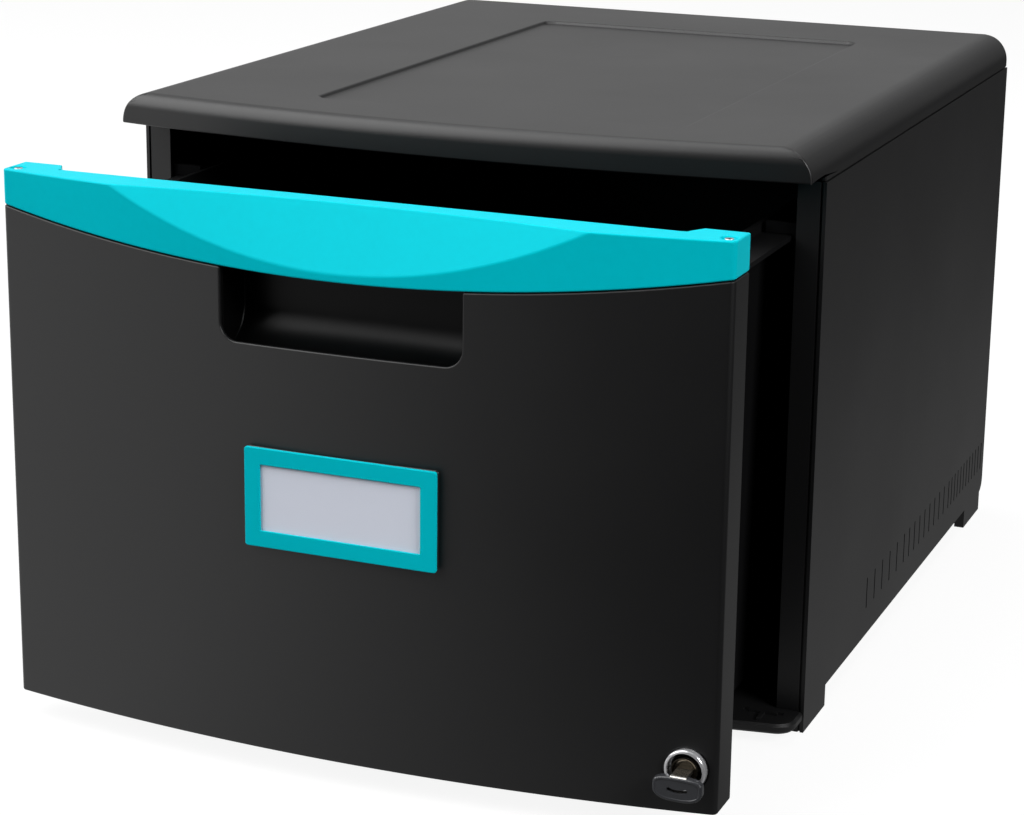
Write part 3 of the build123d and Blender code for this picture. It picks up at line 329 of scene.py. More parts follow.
def tinted(colour, factor):
    return rgba(*[part * factor for part in colour])


def moulded_plastic(name, colour, roughness, shine=0.5, grain_height=0.02 * MM):
    """Roughness spreads the reflections, and shine sets how strong they are."""
    finish = Finish(name)
    cloud = finish.noise(CLOUD_SIZE, detail=3.0)
    mottle = finish.noise(MOTTLE_SIZE)
    grain = finish.noise(GRAIN_SIZE, roughness=0.6)
    shade = (cloud * 0.7 + mottle * 0.3).clamped()
    dark = tinted(colour, 1 - SHADE_SPREAD)
    light = tinted(colour, 1 + SHADE_SPREAD)
    finish.set(
        Base_Color=finish.mix_colour(shade, dark, light),
        Roughness=roughness + (cloud - 0.5) * 0.10 + (grain - 0.5) * 0.08,
        Specular_IOR_Level=shine,
        Normal=finish.bump(grain, 0.35, grain_height),
    )
    return finish


BLACK = (0.0045, 0.0045, 0.0048)
BLACK_ROUGHNESS = 0.43
# The tub and the runners sit in the dark inside of the cabinet. Their darker black and weaker shine
# are painted shade.
SHADE_BLACK = (0.0025, 0.0025, 0.0028)
TEAL = (0.0, 0.485, 0.57)
black_plastic = moulded_plastic("black_plastic", BLACK, BLACK_ROUGHNESS).material
tub_shaded_plastic = moulded_plastic("tub_shaded_plastic", SHADE_BLACK, 0.55, shine=0.2).material
runner_plastic = moulded_plastic("runner_plastic", SHADE_BLACK, 0.70, shine=0.06).material
teal_plastic = moulded_plastic(
    "teal_plastic", TEAL, 0.36, shine=0.03, grain_height=0.01 * MM
).material
print("plastics", [m.name for m in bpy.data.materials])

# %% [markdown]
# The inside of the finger pull is part of the same moulding as the drawer front, but little light
# reaches it. A second surface, darker and with less shine, is mixed in there by place as painted
# shade, which needs no extra piece and no seam.

# %% Recess of the finger pull
RECESS_FRONT = (-279.0 * MM, -276.5 * MM)
RECESS_FLOOR = (208.5 * MM, 212.5 * MM)
RECESS_LEFT = (-62.4 * MM, -61.4 * MM)
RECESS_RIGHT = (66.4 * MM, 65.4 * MM)


def paint_recess_shade(finish):
    """Mixes in painted shade inside the finger pull: a darker surface with less shine."""
    x, y, z = finish.axes()
    inside = y.fade(*RECESS_FRONT) * z.fade(*RECESS_FLOOR)
    inside = inside * x.fade(*RECESS_LEFT) * x.fade(*RECESS_RIGHT)
    # The look below is painted shade: a darker base and less shine than the rest of the front.
    look = {
        "Base Color": rgba(0.0012, 0.0012, 0.0013),
        "Roughness": 0.36,
        "Specular IOR Level": 0.16,
    }
    painted_shade = finish.node("ShaderNodeBsdfPrincipled", {}, look)
    surface = Signal(finish, finish.shader.outputs[0])
    mixed = finish.node("ShaderNodeMixShader", {}, [inside, surface, painted_shade])
    finish.feed(finish.tree.nodes["Material Output"].inputs["Surface"], mixed)


front_finish = moulded_plastic("front_plastic", BLACK, BLACK_ROUGHNESS)
paint_recess_shade(front_finish)
front_plastic = front_finish.material
print("front plastic nodes", len(front_finish.tree.nodes))

# %% [markdown]
# The lock's ring is chromed, its plug is dull brass, and the key and screws are plated steel.
# The card is plain paper, and the key's head is smoked plastic that lets a little light through.
# Fine scratches and slow stains in the roughness keep metal from looking like a mirror.

# %% Metals, card and the smoked key
STAIN_SHARE = 0.86


def metal(name, colour, roughness, scratch_size, metallic=1.0):
    """A metal whose scratches are scratch_size wide and whose stains are much larger."""
    finish = Finish(name)
    scratch = finish.noise(scratch_size, detail=4.0, roughness=0.7)
    stain = finish.noise(scratch_size * 12)
    finish.set(
        Base_Color=finish.mix_colour(stain, rgba(*colour), tinted(colour, STAIN_SHARE)),
        Metallic=metallic,
        Roughness=roughness + (scratch - 0.5) * 0.12,
        Normal=finish.bump(scratch, 0.15, 0.01 * MM),
    )
    return finish.material


# The chrome is only partly metal, so its white base colour shows in any light: a painted reflection
# that keeps the ring bright.
chrome = metal("chrome", (0.90, 0.90, 0.92), 0.14, 0.8 * MM, metallic=0.72)
zinc = metal("zinc", (0.62, 0.62, 0.63), 0.34, 0.6 * MM)
brass = metal("plug_brass", (0.115, 0.098, 0.075), 0.26, 0.5 * MM)
key_metal = metal("key_metal", (0.64, 0.62, 0.58), 0.28, 0.6 * MM)

card = Finish("card")
fibre = card.noise(0.5 * MM, detail=3.0)
card.set(
    Base_Color=card.mix_colour(fibre, rgba(0.64, 0.67, 0.77), rgba(0.70, 0.73, 0.82)),
    Roughness=0.8,
    Normal=card.bump(fibre, 0.2, 0.02 * MM),
)

smoked = Finish("smoked_plastic")
smoke = smoked.noise(6 * MM)
smoked.set(
    Base_Color=smoked.mix_colour(smoke, rgba(0.035, 0.036, 0.04), rgba(0.05, 0.052, 0.058)),
    Roughness=0.16 + smoke * 0.08,
    Transmission_Weight=0.25,
)
print("finishes", len(bpy.data.materials))

# %% Dress the solid parts
FINISHES = {
    "black_plastic": black_plastic,
    "runner_plastic": runner_plastic,
    "teal_plastic": teal_plastic,
    "card": card.material,
    "screw_steel": zinc,
    "chrome": chrome,
    "plug_brass": brass,
    "key_steel": key_metal,
    "key_plastic": smoked.material,
}
for row in frame["record"]["subparts"]:
    part = frame["nodes"][row["node"]]
    part.data.materials.clear()
    part.data.materials.append(FINISHES[row["material_slot"]])
# The tub takes the darker black plastic with painted shade.
frame["nodes"]["drawer_tub"].data.materials[0] = tub_shaded_plastic
frame["nodes"]["drawer_front"].data.materials[0] = front_plastic
print("dressed", len(frame["nodes"]))

# %% [markdown]
# ## Shaping by hand
# Each new piece starts as a primitive at its size and place. Edit mode then works on a few faces,
# edges or points, picked by where they are or which way they face, so nothing else may be
# selected beforehand. Modifiers finish the piece and are applied at once.

# %% Add a primitive
def select_alone(piece):
    """Selects one piece and nothing else, and makes it the active one."""
    bpy.ops.object.select_all(action="DESELECT")
    piece.select_set(True)
    bpy.context.view_layer.objects.active = piece


def settle(name, size=(1, 1, 1)):
    """Names the new primitive, stretches it and puts its place and size in its mesh."""
    piece = bpy.context.object
    piece.name = name
    piece.scale = size
    bpy.ops.object.transform_apply(location=True, rotation=True, scale=True)
    return piece


def add_block(name, low, high):
    """A cube stretched between two corners."""
    bpy.ops.object.select_all(action="DESELECT")
    middle = [(a + b) / 2 for a, b in zip(low, high)]
    bpy.ops.mesh.primitive_cube_add(size=1, location=middle)
    return settle(name, [b - a for a, b in zip(low, high)])


def add_cylinder(name, radius, length, middle, sides, turned=(0, 0, 0)):
    """A cylinder that stands up unless it is turned."""
    bpy.ops.object.select_all(action="DESELECT")
    bpy.ops.mesh.primitive_cylinder_add(
        vertices=sides, radius=radius, depth=length, location=middle, rotation=turned
    )
    return settle(name)


def add_rod(name, radius, front_y, back_y, centre, sides=64):
    """A cylinder that lies along the depth of the box."""
    middle = (centre.x, (front_y + back_y) / 2, centre.z)
    return add_cylinder(name, radius, back_y - front_y, middle, sides, (pi / 2, 0, 0))


print("primitives ready")


# %% Pick, push and round
def edit(piece):
    """Goes into edit mode on one piece alone, with nothing selected."""
    select_alone(piece)
    bpy.ops.object.mode_set(mode="EDIT")
    bpy.ops.mesh.select_all(action="DESELECT")


def object_mode():
    bpy.ops.object.mode_set(mode="OBJECT")


def pick(piece, kind, wanted):
    """Selects the edges or faces that pass a test, and nothing else."""
    bpy.ops.mesh.select_mode(type=kind)
    bpy.ops.mesh.select_all(action="DESELECT")
    mesh = bmesh.from_edit_mesh(piece.data)
    elements = {"EDGE": mesh.edges, "FACE": mesh.faces}[kind]
    for element in elements:
        if wanted(element):
            element.select_set(True)
    bmesh.update_edit_mesh(piece.data)


def push(piece, wanted, shift):
    """Moves each point that passes a test by its own amount, which depends on its place."""
    mesh = bmesh.from_edit_mesh(piece.data)
    for point in mesh.verts:
        if wanted(point.co):
            point.co += Vector(shift(point.co))
    bmesh.update_edit_mesh(piece.data)


def near(a, b):
    return abs(a - b) < 0.02 * MM


def along(edge, axis):
    """Whether an edge runs along an axis."""
    first, second = (point.co for point in edge.verts)
    span = second - first
    return abs(span[axis]) > 0.999 * span.length


def middle_of(edge):
    return (edge.verts[0].co + edge.verts[1].co) / 2


def round_edges(piece, wanted, width, segments):
    """Picks the edges that pass a test and rounds them."""
    pick(piece, "EDGE", wanted)
    bpy.ops.mesh.bevel(offset=width, segments=segments, profile=0.5, affect="EDGES")


def cut_columns(piece, count):
    """Cuts a block into columns across its width."""
    pick(piece, "EDGE", lambda edge: along(edge, 0))
    bpy.ops.mesh.subdivide(number_cuts=count - 1)


def face_outwards():
    bpy.ops.mesh.select_all(action="SELECT")
    bpy.ops.mesh.normals_make_consistent(inside=False)


print("edit tools ready")


# %% Cut, join and finish
WELD = 0.03 * MM


def apply_modifier(piece, kind, **settings):
    select_alone(piece)
    modifier = piece.modifiers.new(kind.lower(), kind)
    for key, value in settings.items():
        setattr(modifier, key, value)
    bpy.ops.object.modifier_apply(modifier=modifier.name)


def combine(piece, tool, operation="DIFFERENCE", folded=False):
    """Cuts a piece with a tool shape, joins it to one or keeps what both share."""
    apply_modifier(
        piece, "BOOLEAN", operation=operation, object=tool, solver="EXACT", use_self=folded
    )
    bpy.data.objects.remove(tool)


def join(piece, others):
    """Makes several shapes one piece without cutting them."""
    select_alone(piece)
    for other in others:
        other.select_set(True)
    if others:
        bpy.ops.object.join()


def copies_of(pattern, matrices):
    """Copies with their own meshes, each moved or turned there, in place of the pattern."""
    copies = []
    for matrix in matrices:
        copy = pattern.copy()
        copy.data = pattern.data.copy()
        copy.data.transform(matrix)
        bpy.context.scene.collection.objects.link(copy)
        copies.append(copy)
    bpy.data.objects.remove(pattern)
    return copies


def soften(piece, width, segments=3, angle=30):
    """Rounds every edge that is sharper than the angle."""
    apply_modifier(
        piece,
        "BEVEL",
        width=width,
        segments=segments,
        limit_method="ANGLE",
        angle_limit=radians(angle),
        use_clamp_overlap=False,
        miter_outer="MITER_ARC",
    )


def hand_over(piece, body, nodes, material, angle=32):
    """Shades a piece smoothly, dresses it and lets it stand for its solid parts."""
    edit(piece)
    bpy.ops.mesh.select_all(action="SELECT")
    bpy.ops.mesh.remove_doubles(threshold=WELD)
    bpy.ops.mesh.dissolve_degenerate(threshold=WELD)
    object_mode()
    select_alone(piece)
    bpy.ops.object.shade_smooth_by_angle(angle=radians(angle))
    apply_modifier(piece, "WEIGHTED_NORMAL", keep_sharp=True)
    piece.data.materials.clear()
    piece.data.materials.append(material)
    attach(piece, body)
    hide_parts(*nodes)
    print(piece.name, "polygons", len(piece.data.polygons))


print("weld", WELD)

# %% [markdown]
# ## Bowed blocks
# The lid, the drawer front and its trim each bow out at the front on one large, flat arc. A block
# is cut into many columns across the width, and each column is pushed forward by its own amount.
# One function draws all three, so that their faces run side by side.

# %% Block with a bowed front
BOW = 17.4 * MM
COLUMNS = 72
MARGIN = 5 * MM


def rise(x, half, height):
    """Height of a flat arc over its ends, at a place across its width."""
    radius = (half**2 + height**2) / (2 * height)
    return height - radius + sqrt(radius**2 - x**2)


def bowed_block(name, half, corner_y, rear_y, low_z, high_z):
    """A block whose front face bows out by BOW between its two front corners."""
    block = add_block(name, (-half, corner_y, low_z), (half, rear_y, high_z))
    edit(block)
    cut_columns(block, COLUMNS)
    push(block, lambda co: near(co.y, corner_y), lambda co: (0, -rise(co.x, half, BOW), 0))
    object_mode()
    return block


trim_low, trim_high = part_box("front_trim")
lid_low, lid_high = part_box("top_cover")
front_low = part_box("drawer_front")[0]
print("trim", trim_low, trim_high, "lid", lid_low, lid_high)

# %% [markdown]
# ## Lid
# The lid is one moulding: a flat top with a shallow tray sunk into it, sides that roll down on a
# wide curve, and a hood that bows out over the drawer. The bowed block gets a small roll along
# its front, and then shares its volume with a long bar whose upper corners are the side rolls.
# The two shapes meet in a corner that would be hard to draw by hand.

# %% Lid as a full solid
LID_SIDE_ROLL = 16 * MM
LID_FRONT_ROLL = 8 * MM
LID_REAR_ROLL = 3 * MM


def lid_solid(name, inset, ceiling):
    """The lid as a full solid, smaller on every side by the inset."""
    half = lid_high.x - inset
    corner_y = lid_low.y + BOW + inset
    rear_y = lid_high.y - inset
    solid = bowed_block(name, half, corner_y, rear_y, lid_low.z - (MARGIN if inset else 0), ceiling)
    edit(solid)
    round_edges(
        solid,
        lambda edge: abs(middle_of(edge).y - corner_y) < 1.1 * BOW
        and near(middle_of(edge).z, ceiling)
        and not along(edge, 1),
        LID_FRONT_ROLL - inset,
        8,
    )
    if not inset:
        round_edges(
            solid,
            lambda edge: near(middle_of(edge).y, rear_y)
            and near(middle_of(edge).z, ceiling)
            and along(edge, 0),
            LID_REAR_ROLL,
            4,
        )
    object_mode()
    bar = add_block(
        "side_rolls",
        (-half, lid_low.y - MARGIN, lid_low.z - 2 * MARGIN),
        (half, lid_high.y + MARGIN, ceiling),
    )
    edit(bar)
    round_edges(
        bar,
        lambda edge: along(edge, 1) and near(middle_of(edge).z, ceiling),
        LID_SIDE_ROLL - inset,
        14,
    )
    object_mode()
    combine(solid, bar, "INTERSECT")
    return solid


lid = lid_solid("lid", 0, lid_high.z)
print("lid solid", len(lid.data.polygons))

# %% Sunk tray
TRAY_LEFT_INSET = 97.8 * MM
TRAY_RIGHT_INSET = 75.4 * MM
TRAY_FRONT_INSET = 46.375 * MM
TRAY_REAR_INSET = 73.225 * MM
TRAY_DEPTH = 1.9 * MM
TRAY_CORNER = 7 * MM
TRAY_TAPER = 2.8 * MM  # over the block's height, which is twice the tray's depth

tray_low = Vector(
    (lid_low.x + TRAY_LEFT_INSET, lid_low.y + TRAY_FRONT_INSET, lid_high.z - TRAY_DEPTH)
)
tray_high = Vector(
    (lid_high.x - TRAY_RIGHT_INSET, lid_high.y - TRAY_REAR_INSET, lid_high.z + TRAY_DEPTH)
)
tray_middle = (tray_low + tray_high) / 2
tray = add_block("tray_space", tray_low, tray_high)
edit(tray)
round_edges(tray, lambda edge: along(edge, 2), TRAY_CORNER, 8)
push(
    tray,
    lambda co: near(co.z, tray_low.z),
    lambda co: (
        -TRAY_TAPER if co.x > tray_middle.x else TRAY_TAPER,
        -TRAY_TAPER if co.y > tray_middle.y else TRAY_TAPER,
        0,
    ),
)
object_mode()
combine(lid, tray)
print("tray", tray_low, tray_high)

# %% Hollow and hood
LID_WALL = 3 * MM
HOOD_LIFT = 3.3 * MM
HOOD_HALF = 0.3

side_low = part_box("left_side_panel")[0]
combine(lid, lid_solid("lid_space", LID_WALL, lid_high.z - LID_WALL - TRAY_DEPTH))
hood = add_block(
    "hood_space",
    (-HOOD_HALF, lid_low.y - MARGIN, lid_low.z - 2 * MARGIN),
    (HOOD_HALF, side_low.y, lid_low.z + HOOD_LIFT),
)
combine(lid, hood)
print("lid shell", len(lid.data.polygons))

# %% [markdown]
# Ribs stiffen the lid from below, and four posts take its screws. On the real lid they are part
# of the moulding. Their tops run a little into the shell and nobody sees where, so they are
# joined to it without a cut.

# %% Ribs
RIB_SPACING = 106 * MM
RIB_HALF = 1 * MM
RIB_HEIGHT = 6.5 * MM
RIB_END_INSET = 14 * MM
RIB_FRONT_INSET = 2.5 * BOW

rib_top = lid_high.z - LID_WALL
rib_low = rib_top - RIB_HEIGHT
ribs = []
for step in (-RIB_SPACING, 0, RIB_SPACING):
    lengthwise = add_block(
        "rib",
        (step - RIB_HALF, lid_low.y + RIB_FRONT_INSET, rib_low),
        (step + RIB_HALF, lid_high.y - LID_WALL, rib_top),
    )
    crosswise = add_block(
        "rib",
        (lid_low.x + RIB_END_INSET, tray_middle.y + step - RIB_HALF, rib_low),
        (lid_high.x - RIB_END_INSET, tray_middle.y + step + RIB_HALF, rib_top),
    )
    ribs += [lengthwise, crosswise]
print("ribs", len(ribs))

# %% Screw posts of the lid
POST_RADIUS = 4.4 * MM
SCREW_HEAD_RADIUS = 3.2 * MM
LID_POST_GAP = 9 * MM
LID_POST_WALL = 2.8 * MM
LID_POST_HOLE = 7 * MM

cover_screws_low, cover_screws_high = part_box("cover_screws")
post_x = cover_screws_high.x - SCREW_HEAD_RADIUS
front_post_y = cover_screws_low.y + SCREW_HEAD_RADIUS
rear_post_y = cover_screws_high.y - SCREW_HEAD_RADIUS
post_height = lid_high.z - lid_low.z - LID_POST_GAP
post = add_cylinder("post", POST_RADIUS, post_height, (0, 0, lid_low.z + post_height / 2), 24)
edit(post)
pick(post, "FACE", lambda face: face.normal.z < -0.9)
bpy.ops.mesh.inset(thickness=LID_POST_WALL)
bpy.ops.mesh.extrude_region_move(TRANSFORM_OT_translate={"value": (0, 0, LID_POST_HOLE)})
object_mode()
posts = copies_of(
    post,
    [
        Matrix.Translation((x, y, 0))
        for x in (-post_x, post_x)
        for y in (front_post_y, rear_post_y)
    ],
)
soften(lid, 0.9 * MM)
join(lid, ribs + posts)
hand_over(lid, "cabinet", ["top_cover"], black_plastic)

# %% [markdown]
# ## Teal trim
# The trim is a second moulding that caps the drawer front. Its lower edge hangs in a flat arch,
# its two ends are full-depth blocks, and between them its back steps forward over short ramps.
# It starts as a bowed block like the lid, and its lower and rear points are then pushed.

# %% Trim body
TRIM_ARCH = 17.1 * MM
TRIM_SETBACK = 10.3 * MM
RAMP_START = 163.0 * MM
RAMP_END = 169.0 * MM
RAMP_ROUND = 3 * MM
CORNER_ROUND = 2.4 * MM

half_front = trim_high.x
front_corner_y = trim_low.y + BOW
arch_end_z = trim_low.z + TRIM_ARCH


def arch_drop(co):
    """How far the arch hangs below its ends, as a move for push."""
    return (0, 0, -rise(co.x, half_front, TRIM_ARCH))


def back_step(co):
    """How far the back steps forward between the end blocks, as a move for push."""
    share = (RAMP_END - abs(co.x)) / (RAMP_END - RAMP_START)
    return (0, -TRIM_SETBACK * min(1, max(0, share)), 0)


def round_front_corners(block):
    round_edges(
        block,
        lambda edge: along(edge, 2)
        and near(abs(middle_of(edge).x), half_front)
        and near(middle_of(edge).y, front_corner_y),
        CORNER_ROUND,
        8,
    )


trim = bowed_block("trim", half_front, front_corner_y, trim_high.y, arch_end_z, trim_high.z)
edit(trim)
push(trim, lambda co: near(co.z, arch_end_z), arch_drop)
for x in (-RAMP_END, -RAMP_START, RAMP_START, RAMP_END):
    bpy.ops.mesh.select_all(action="SELECT")
    bpy.ops.mesh.bisect(plane_co=(x, 0, 0), plane_no=(1, 0, 0))
push(trim, lambda co: near(co.y, trim_high.y), back_step)
round_front_corners(trim)
round_edges(
    trim,
    lambda edge: along(edge, 2)
    and near(abs(middle_of(edge).x), RAMP_START)
    and middle_of(edge).y > trim_high.y - 1.1 * TRIM_SETBACK,
    RAMP_ROUND,
    5,
)
object_mode()
print("trim body", len(trim.data.polygons))

# %% [markdown]
# The scoop in the trim's face is the mark of this design: a leaning trough with a bowed back
# wall, cut right through the top edge. A wide bowed block is tilted and cut away, because a cut
# leaves the trough's lower edge where the two curved faces truly meet.

# %% Scoop
SCOOP_HALF = 124.5 * MM
SCOOP_SAG = 9.3 * MM
SCOOP_BACK = 16.75 * MM
SCOOP_HEIGHT = 30.6 * MM
SCOOP_LEAN = SCOOP_BACK / SCOOP_HEIGHT
SCOOP_REACH = 150 * MM
SCOOP_FRONT = 60 * MM
SCOOP_DEPTH = 45 * MM
SCOOP_OVER = 8 * MM

scoop_back_y = trim_low.y + SCOOP_BACK
scoop = add_block(
    "scoop_space",
    (-SCOOP_REACH, trim_low.y - SCOOP_FRONT, trim_high.z - SCOOP_DEPTH),
    (SCOOP_REACH, scoop_back_y, trim_high.z + SCOOP_OVER),
)
edit(scoop)
cut_columns(scoop, COLUMNS)
push(
    scoop,
    lambda co: near(co.y, scoop_back_y),
    lambda co: (0, rise(co.x, SCOOP_HALF, SCOOP_SAG) - SCOOP_SAG, 0),
)
push(scoop, lambda co: True, lambda co: (0, (co.z - trim_high.z) * SCOOP_LEAN, 0))
object_mode()
combine(trim, scoop)
print("with scoop", len(trim.data.polygons))

# %% Screw dimples
DIMPLE_RADIUS = 3.8 * MM
DIMPLE_DEPTH = 1.2 * MM
TRIM_SCREW_RADIUS = 2.2 * MM

trim_screws_low, trim_screws_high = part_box("trim_screws")
dimple_x = trim_screws_high.x - TRIM_SCREW_RADIUS
dimple_y = (trim_screws_low.y + trim_screws_high.y) / 2
for x in (-dimple_x, dimple_x):
    combine(
        trim,
        add_cylinder("dimple", DIMPLE_RADIUS, 2 * DIMPLE_DEPTH, (x, dimple_y, trim_high.z), 32),
    )
soften(trim, 0.8 * MM, angle=14)
hand_over(trim, "drawer", ["front_trim"], teal_plastic, angle=14)

# %% [markdown]
# ## Label frame
# A thin moulded frame holds a card behind its window, and four pegs at its back press into the
# drawer front. A flat block is inset from both sides, a step at the back leaves room for the
# card, and the two inner faces are bridged into a window. Insets keep the border even all round.

# %% Window and card step
FRAME_THICKNESS = 1.8 * MM
FRAME_BORDER = 8.4 * MM
FRAME_CORNER = 1.5 * MM
CARD_LIP = 2.2 * MM
CARD_STEP = 0.55 * MM

label_low, label_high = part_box("label_frame")
label_middle = (label_low + label_high) / 2
label_half = (label_high.x - label_low.x) / 2
window_half = label_half - FRAME_BORDER
frame_back_y = label_low.y + FRAME_THICKNESS
label = add_block("label_surround", label_low, (label_high.x, frame_back_y, label_high.z))


def off_middle(co):
    return abs(co.x - label_middle.x)


edit(label)
pick(label, "FACE", lambda face: face.normal.y < -0.9)
bpy.ops.mesh.inset(thickness=FRAME_BORDER)
pick(label, "FACE", lambda face: face.normal.y > 0.9)
bpy.ops.mesh.inset(thickness=FRAME_BORDER - CARD_LIP)
bpy.ops.mesh.extrude_region_move(TRANSFORM_OT_translate={"value": (0, -CARD_STEP, 0)})
bpy.ops.mesh.inset(thickness=CARD_LIP)
pick(
    label,
    "FACE",
    lambda face: all(off_middle(point.co) < window_half + 0.1 * MM for point in face.verts)
    and abs(face.normal.y) > 0.9,
)
bpy.ops.mesh.bridge_edge_loops()
round_edges(
    label,
    lambda edge: along(edge, 1) and near(off_middle(middle_of(edge)), label_half),
    FRAME_CORNER,
    5,
)
face_outwards()
object_mode()
soften(label, 0.45 * MM)
print("window half width", window_half)

# %% Pegs
PEG_INSET = 4 * MM
PEG_HALF = 1.1 * MM
PEG_ROOT = 0.5 * MM
PEG_ROUND = 0.5 * MM

peg = add_block(
    "peg",
    (-PEG_HALF, frame_back_y - PEG_ROOT, -PEG_HALF),
    (PEG_HALF, label_high.y, PEG_HALF),
)
edit(peg)
round_edges(peg, lambda edge: along(edge, 1), PEG_ROUND, 3)
object_mode()
pegs = copies_of(
    peg,
    [
        Matrix.Translation((x, 0, z))
        for x in (label_low.x + PEG_INSET, label_high.x - PEG_INSET)
        for z in (label_low.z + PEG_INSET, label_high.z - PEG_INSET)
    ],
)
join(label, pegs)
hand_over(label, "drawer", ["label_frame"], teal_plastic)

# %% [markdown]
# ## Lock
# The lock's chrome ring is turned on a lathe: a rounded rim, a dark groove and a thin inner lip
# round the plug. Turned shapes come from one face that is inset and moved again and again, which
# follows the lathe step by step.

# %% Terraces
def terrace(steps):
    """Insets the picked face and moves it along the depth, for each pair of numbers."""
    for inset, move in steps:
        bpy.ops.mesh.inset(thickness=inset)
        bpy.ops.transform.translate(value=(0, move, 0))


def pick_facing(piece, way, y):
    """Picks the flat faces that look along the depth, one way, at one place."""
    pick(
        piece,
        "FACE",
        lambda face: face.normal.y * way > 0.99 and near(face.calc_center_median().y, y),
    )


ring_low, ring_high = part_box("lock_housing")
lock_centre = (ring_low + ring_high) / 2
print("lock centre", lock_centre)

# %% Lock ring
RING_THICKNESS = 4.5 * MM
RING_ROUND = 1.1 * MM
BARREL_RADIUS = 8.0 * MM
BORE_RADIUS = 6.45 * MM
RING_STEPS = (
    (0.70 * MM, 0),  # flat of the rim
    (0.15 * MM, 1.5 * MM),  # down into the groove
    (0.72 * MM, 0),  # floor of the groove
    (0.12 * MM, -1.1 * MM),  # up to the lip
    (0.24 * MM, -0.28 * MM),  # outer slope of the lip
    (0.36 * MM, 0),  # top of the lip
    (0.24 * MM, 0.28 * MM),  # inner slope of the lip
)

ring_back_y = ring_low.y + RING_THICKNESS
ring_radius = (ring_high.x - ring_low.x) / 2
ring = add_rod("lock_ring", ring_radius, ring_low.y, ring_back_y, lock_centre, 96)
edit(ring)
round_edges(ring, lambda edge: near(middle_of(edge).y, ring_low.y), RING_ROUND, 6)
pick_facing(ring, -1, ring_low.y)
terrace(RING_STEPS)
pick_facing(ring, 1, ring_back_y)
bpy.ops.mesh.inset(thickness=ring_radius - BARREL_RADIUS)
bpy.ops.mesh.extrude_region_move(
    TRANSFORM_OT_translate={"value": (0, ring_high.y - ring_back_y, 0)}
)
bpy.ops.mesh.inset(thickness=BARREL_RADIUS - BORE_RADIUS)
pick(ring, "FACE", lambda face: abs(face.normal.y) > 0.99 and len(face.verts) > 8)
bpy.ops.mesh.bridge_edge_loops()
face_outwards()
object_mode()
hand_over(ring, "drawer", ["lock_housing"], chrome, angle=25)

# %% [markdown]
# The plug turns inside the ring. Its face is sunk a little behind a thin rim, the keyway is cut
# into it, and a square tail carries the cam at the back. The rim is terraced like the ring, and
# tail and keyway are blocks, as a mill would cut them.

# %% Lock plug
PLUG_STEPS = (
    (0.12 * MM, 0),  # edge of the rim
    (0.35 * MM, 0),  # top of the rim
    (0.10 * MM, 0.45 * MM),  # down to the sunk face
    (0.60 * MM, 0),  # ring round the face
    (0.20 * MM, -0.15 * MM),  # up to the middle of the face
)
TAIL_HALF = 2.3 * MM
TAIL_ROOT = 0.5 * MM
KEYWAY_HALF_WIDTH = 4.1 * MM
KEYWAY_HALF_HEIGHT = 1.0 * MM
KEYWAY_DEPTH = 16 * MM
KEYWAY_OVER = 1 * MM

plug_low, plug_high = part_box("lock_plug")
plug_radius = (plug_high.x - plug_low.x) / 2
plug = add_rod("plug", plug_radius, plug_low.y, ring_high.y, lock_centre)
edit(plug)
pick_facing(plug, -1, plug_low.y)
terrace(PLUG_STEPS)
object_mode()
tail = add_block(
    "tail",
    (lock_centre.x - TAIL_HALF, ring_high.y - TAIL_ROOT, lock_centre.z - TAIL_HALF),
    (lock_centre.x + TAIL_HALF, plug_high.y, lock_centre.z + TAIL_HALF),
)
combine(plug, tail, "UNION")
keyway = add_block(
    "keyway",
    (
        lock_centre.x - KEYWAY_HALF_WIDTH,
        plug_low.y - KEYWAY_OVER,
        lock_centre.z - KEYWAY_HALF_HEIGHT,
    ),
    (
        lock_centre.x + KEYWAY_HALF_WIDTH,
        plug_low.y + KEYWAY_DEPTH,
        lock_centre.z + KEYWAY_HALF_HEIGHT,
    ),
)
combine(plug, keyway)
soften(plug, 0.12 * MM, 2, 40)
hand_over(plug, "lock_cylinder", ["lock_plug"], brass)

# %% [markdown]
# ## Key head
# The folding head is a flat cushion of smoked plastic with a raised rim, a curved eye, and a
# notch in the back of its top edge for the knuckle of the blade. A short rod with many points is
# pushed into a squared oval and inset for the rim: one formula gives the whole outline.

# %% Cushion with a rim
HEAD_HALF_WIDTH = 12.3 * MM
HEAD_LIFT = 0.7 * MM
HEAD_ROUND = 1.1 * MM
UPPER_POWERS = (3.6, 4.6)
LOWER_POWERS = (2.7, 2.4)
RIM_STEPS = (
    (0.35 * MM, 0),  # top of the rim
    (0.25 * MM, 0.3 * MM),  # down to the flat of the head
)

head_low, head_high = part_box("key_head")
head_bottom = head_low.z + HEAD_LIFT
head_half_height = (head_high.z - head_bottom) / 2
head_centre = Vector(((head_low.x + head_high.x) / 2, 0, (head_high.z + head_bottom) / 2))


def squared(value, power):
    """A point of a round made squarer, the more so the higher the power."""
    return abs(value) ** (2 / power) * (1 if value > 0 else -1)


def to_cushion(co):
    """Takes a point of a rod of radius 1 to the squared oval, as a move for push."""
    x = co.x - head_centre.x
    z = co.z - head_centre.z
    power_x, power_z = UPPER_POWERS if z > 0 else LOWER_POWERS
    return (
        squared(x, power_x) * HEAD_HALF_WIDTH - x,
        0,
        squared(z, power_z) * head_half_height - z,
    )


head = add_rod("key_grip", 1.0, head_low.y, head_high.y, head_centre, 96)
edit(head)
push(head, lambda co: True, to_cushion)
round_edges(head, lambda edge: not along(edge, 1), HEAD_ROUND, 5)
pick_facing(head, -1, head_low.y)
terrace(RIM_STEPS)
object_mode()
print("cushion", len(head.data.polygons))

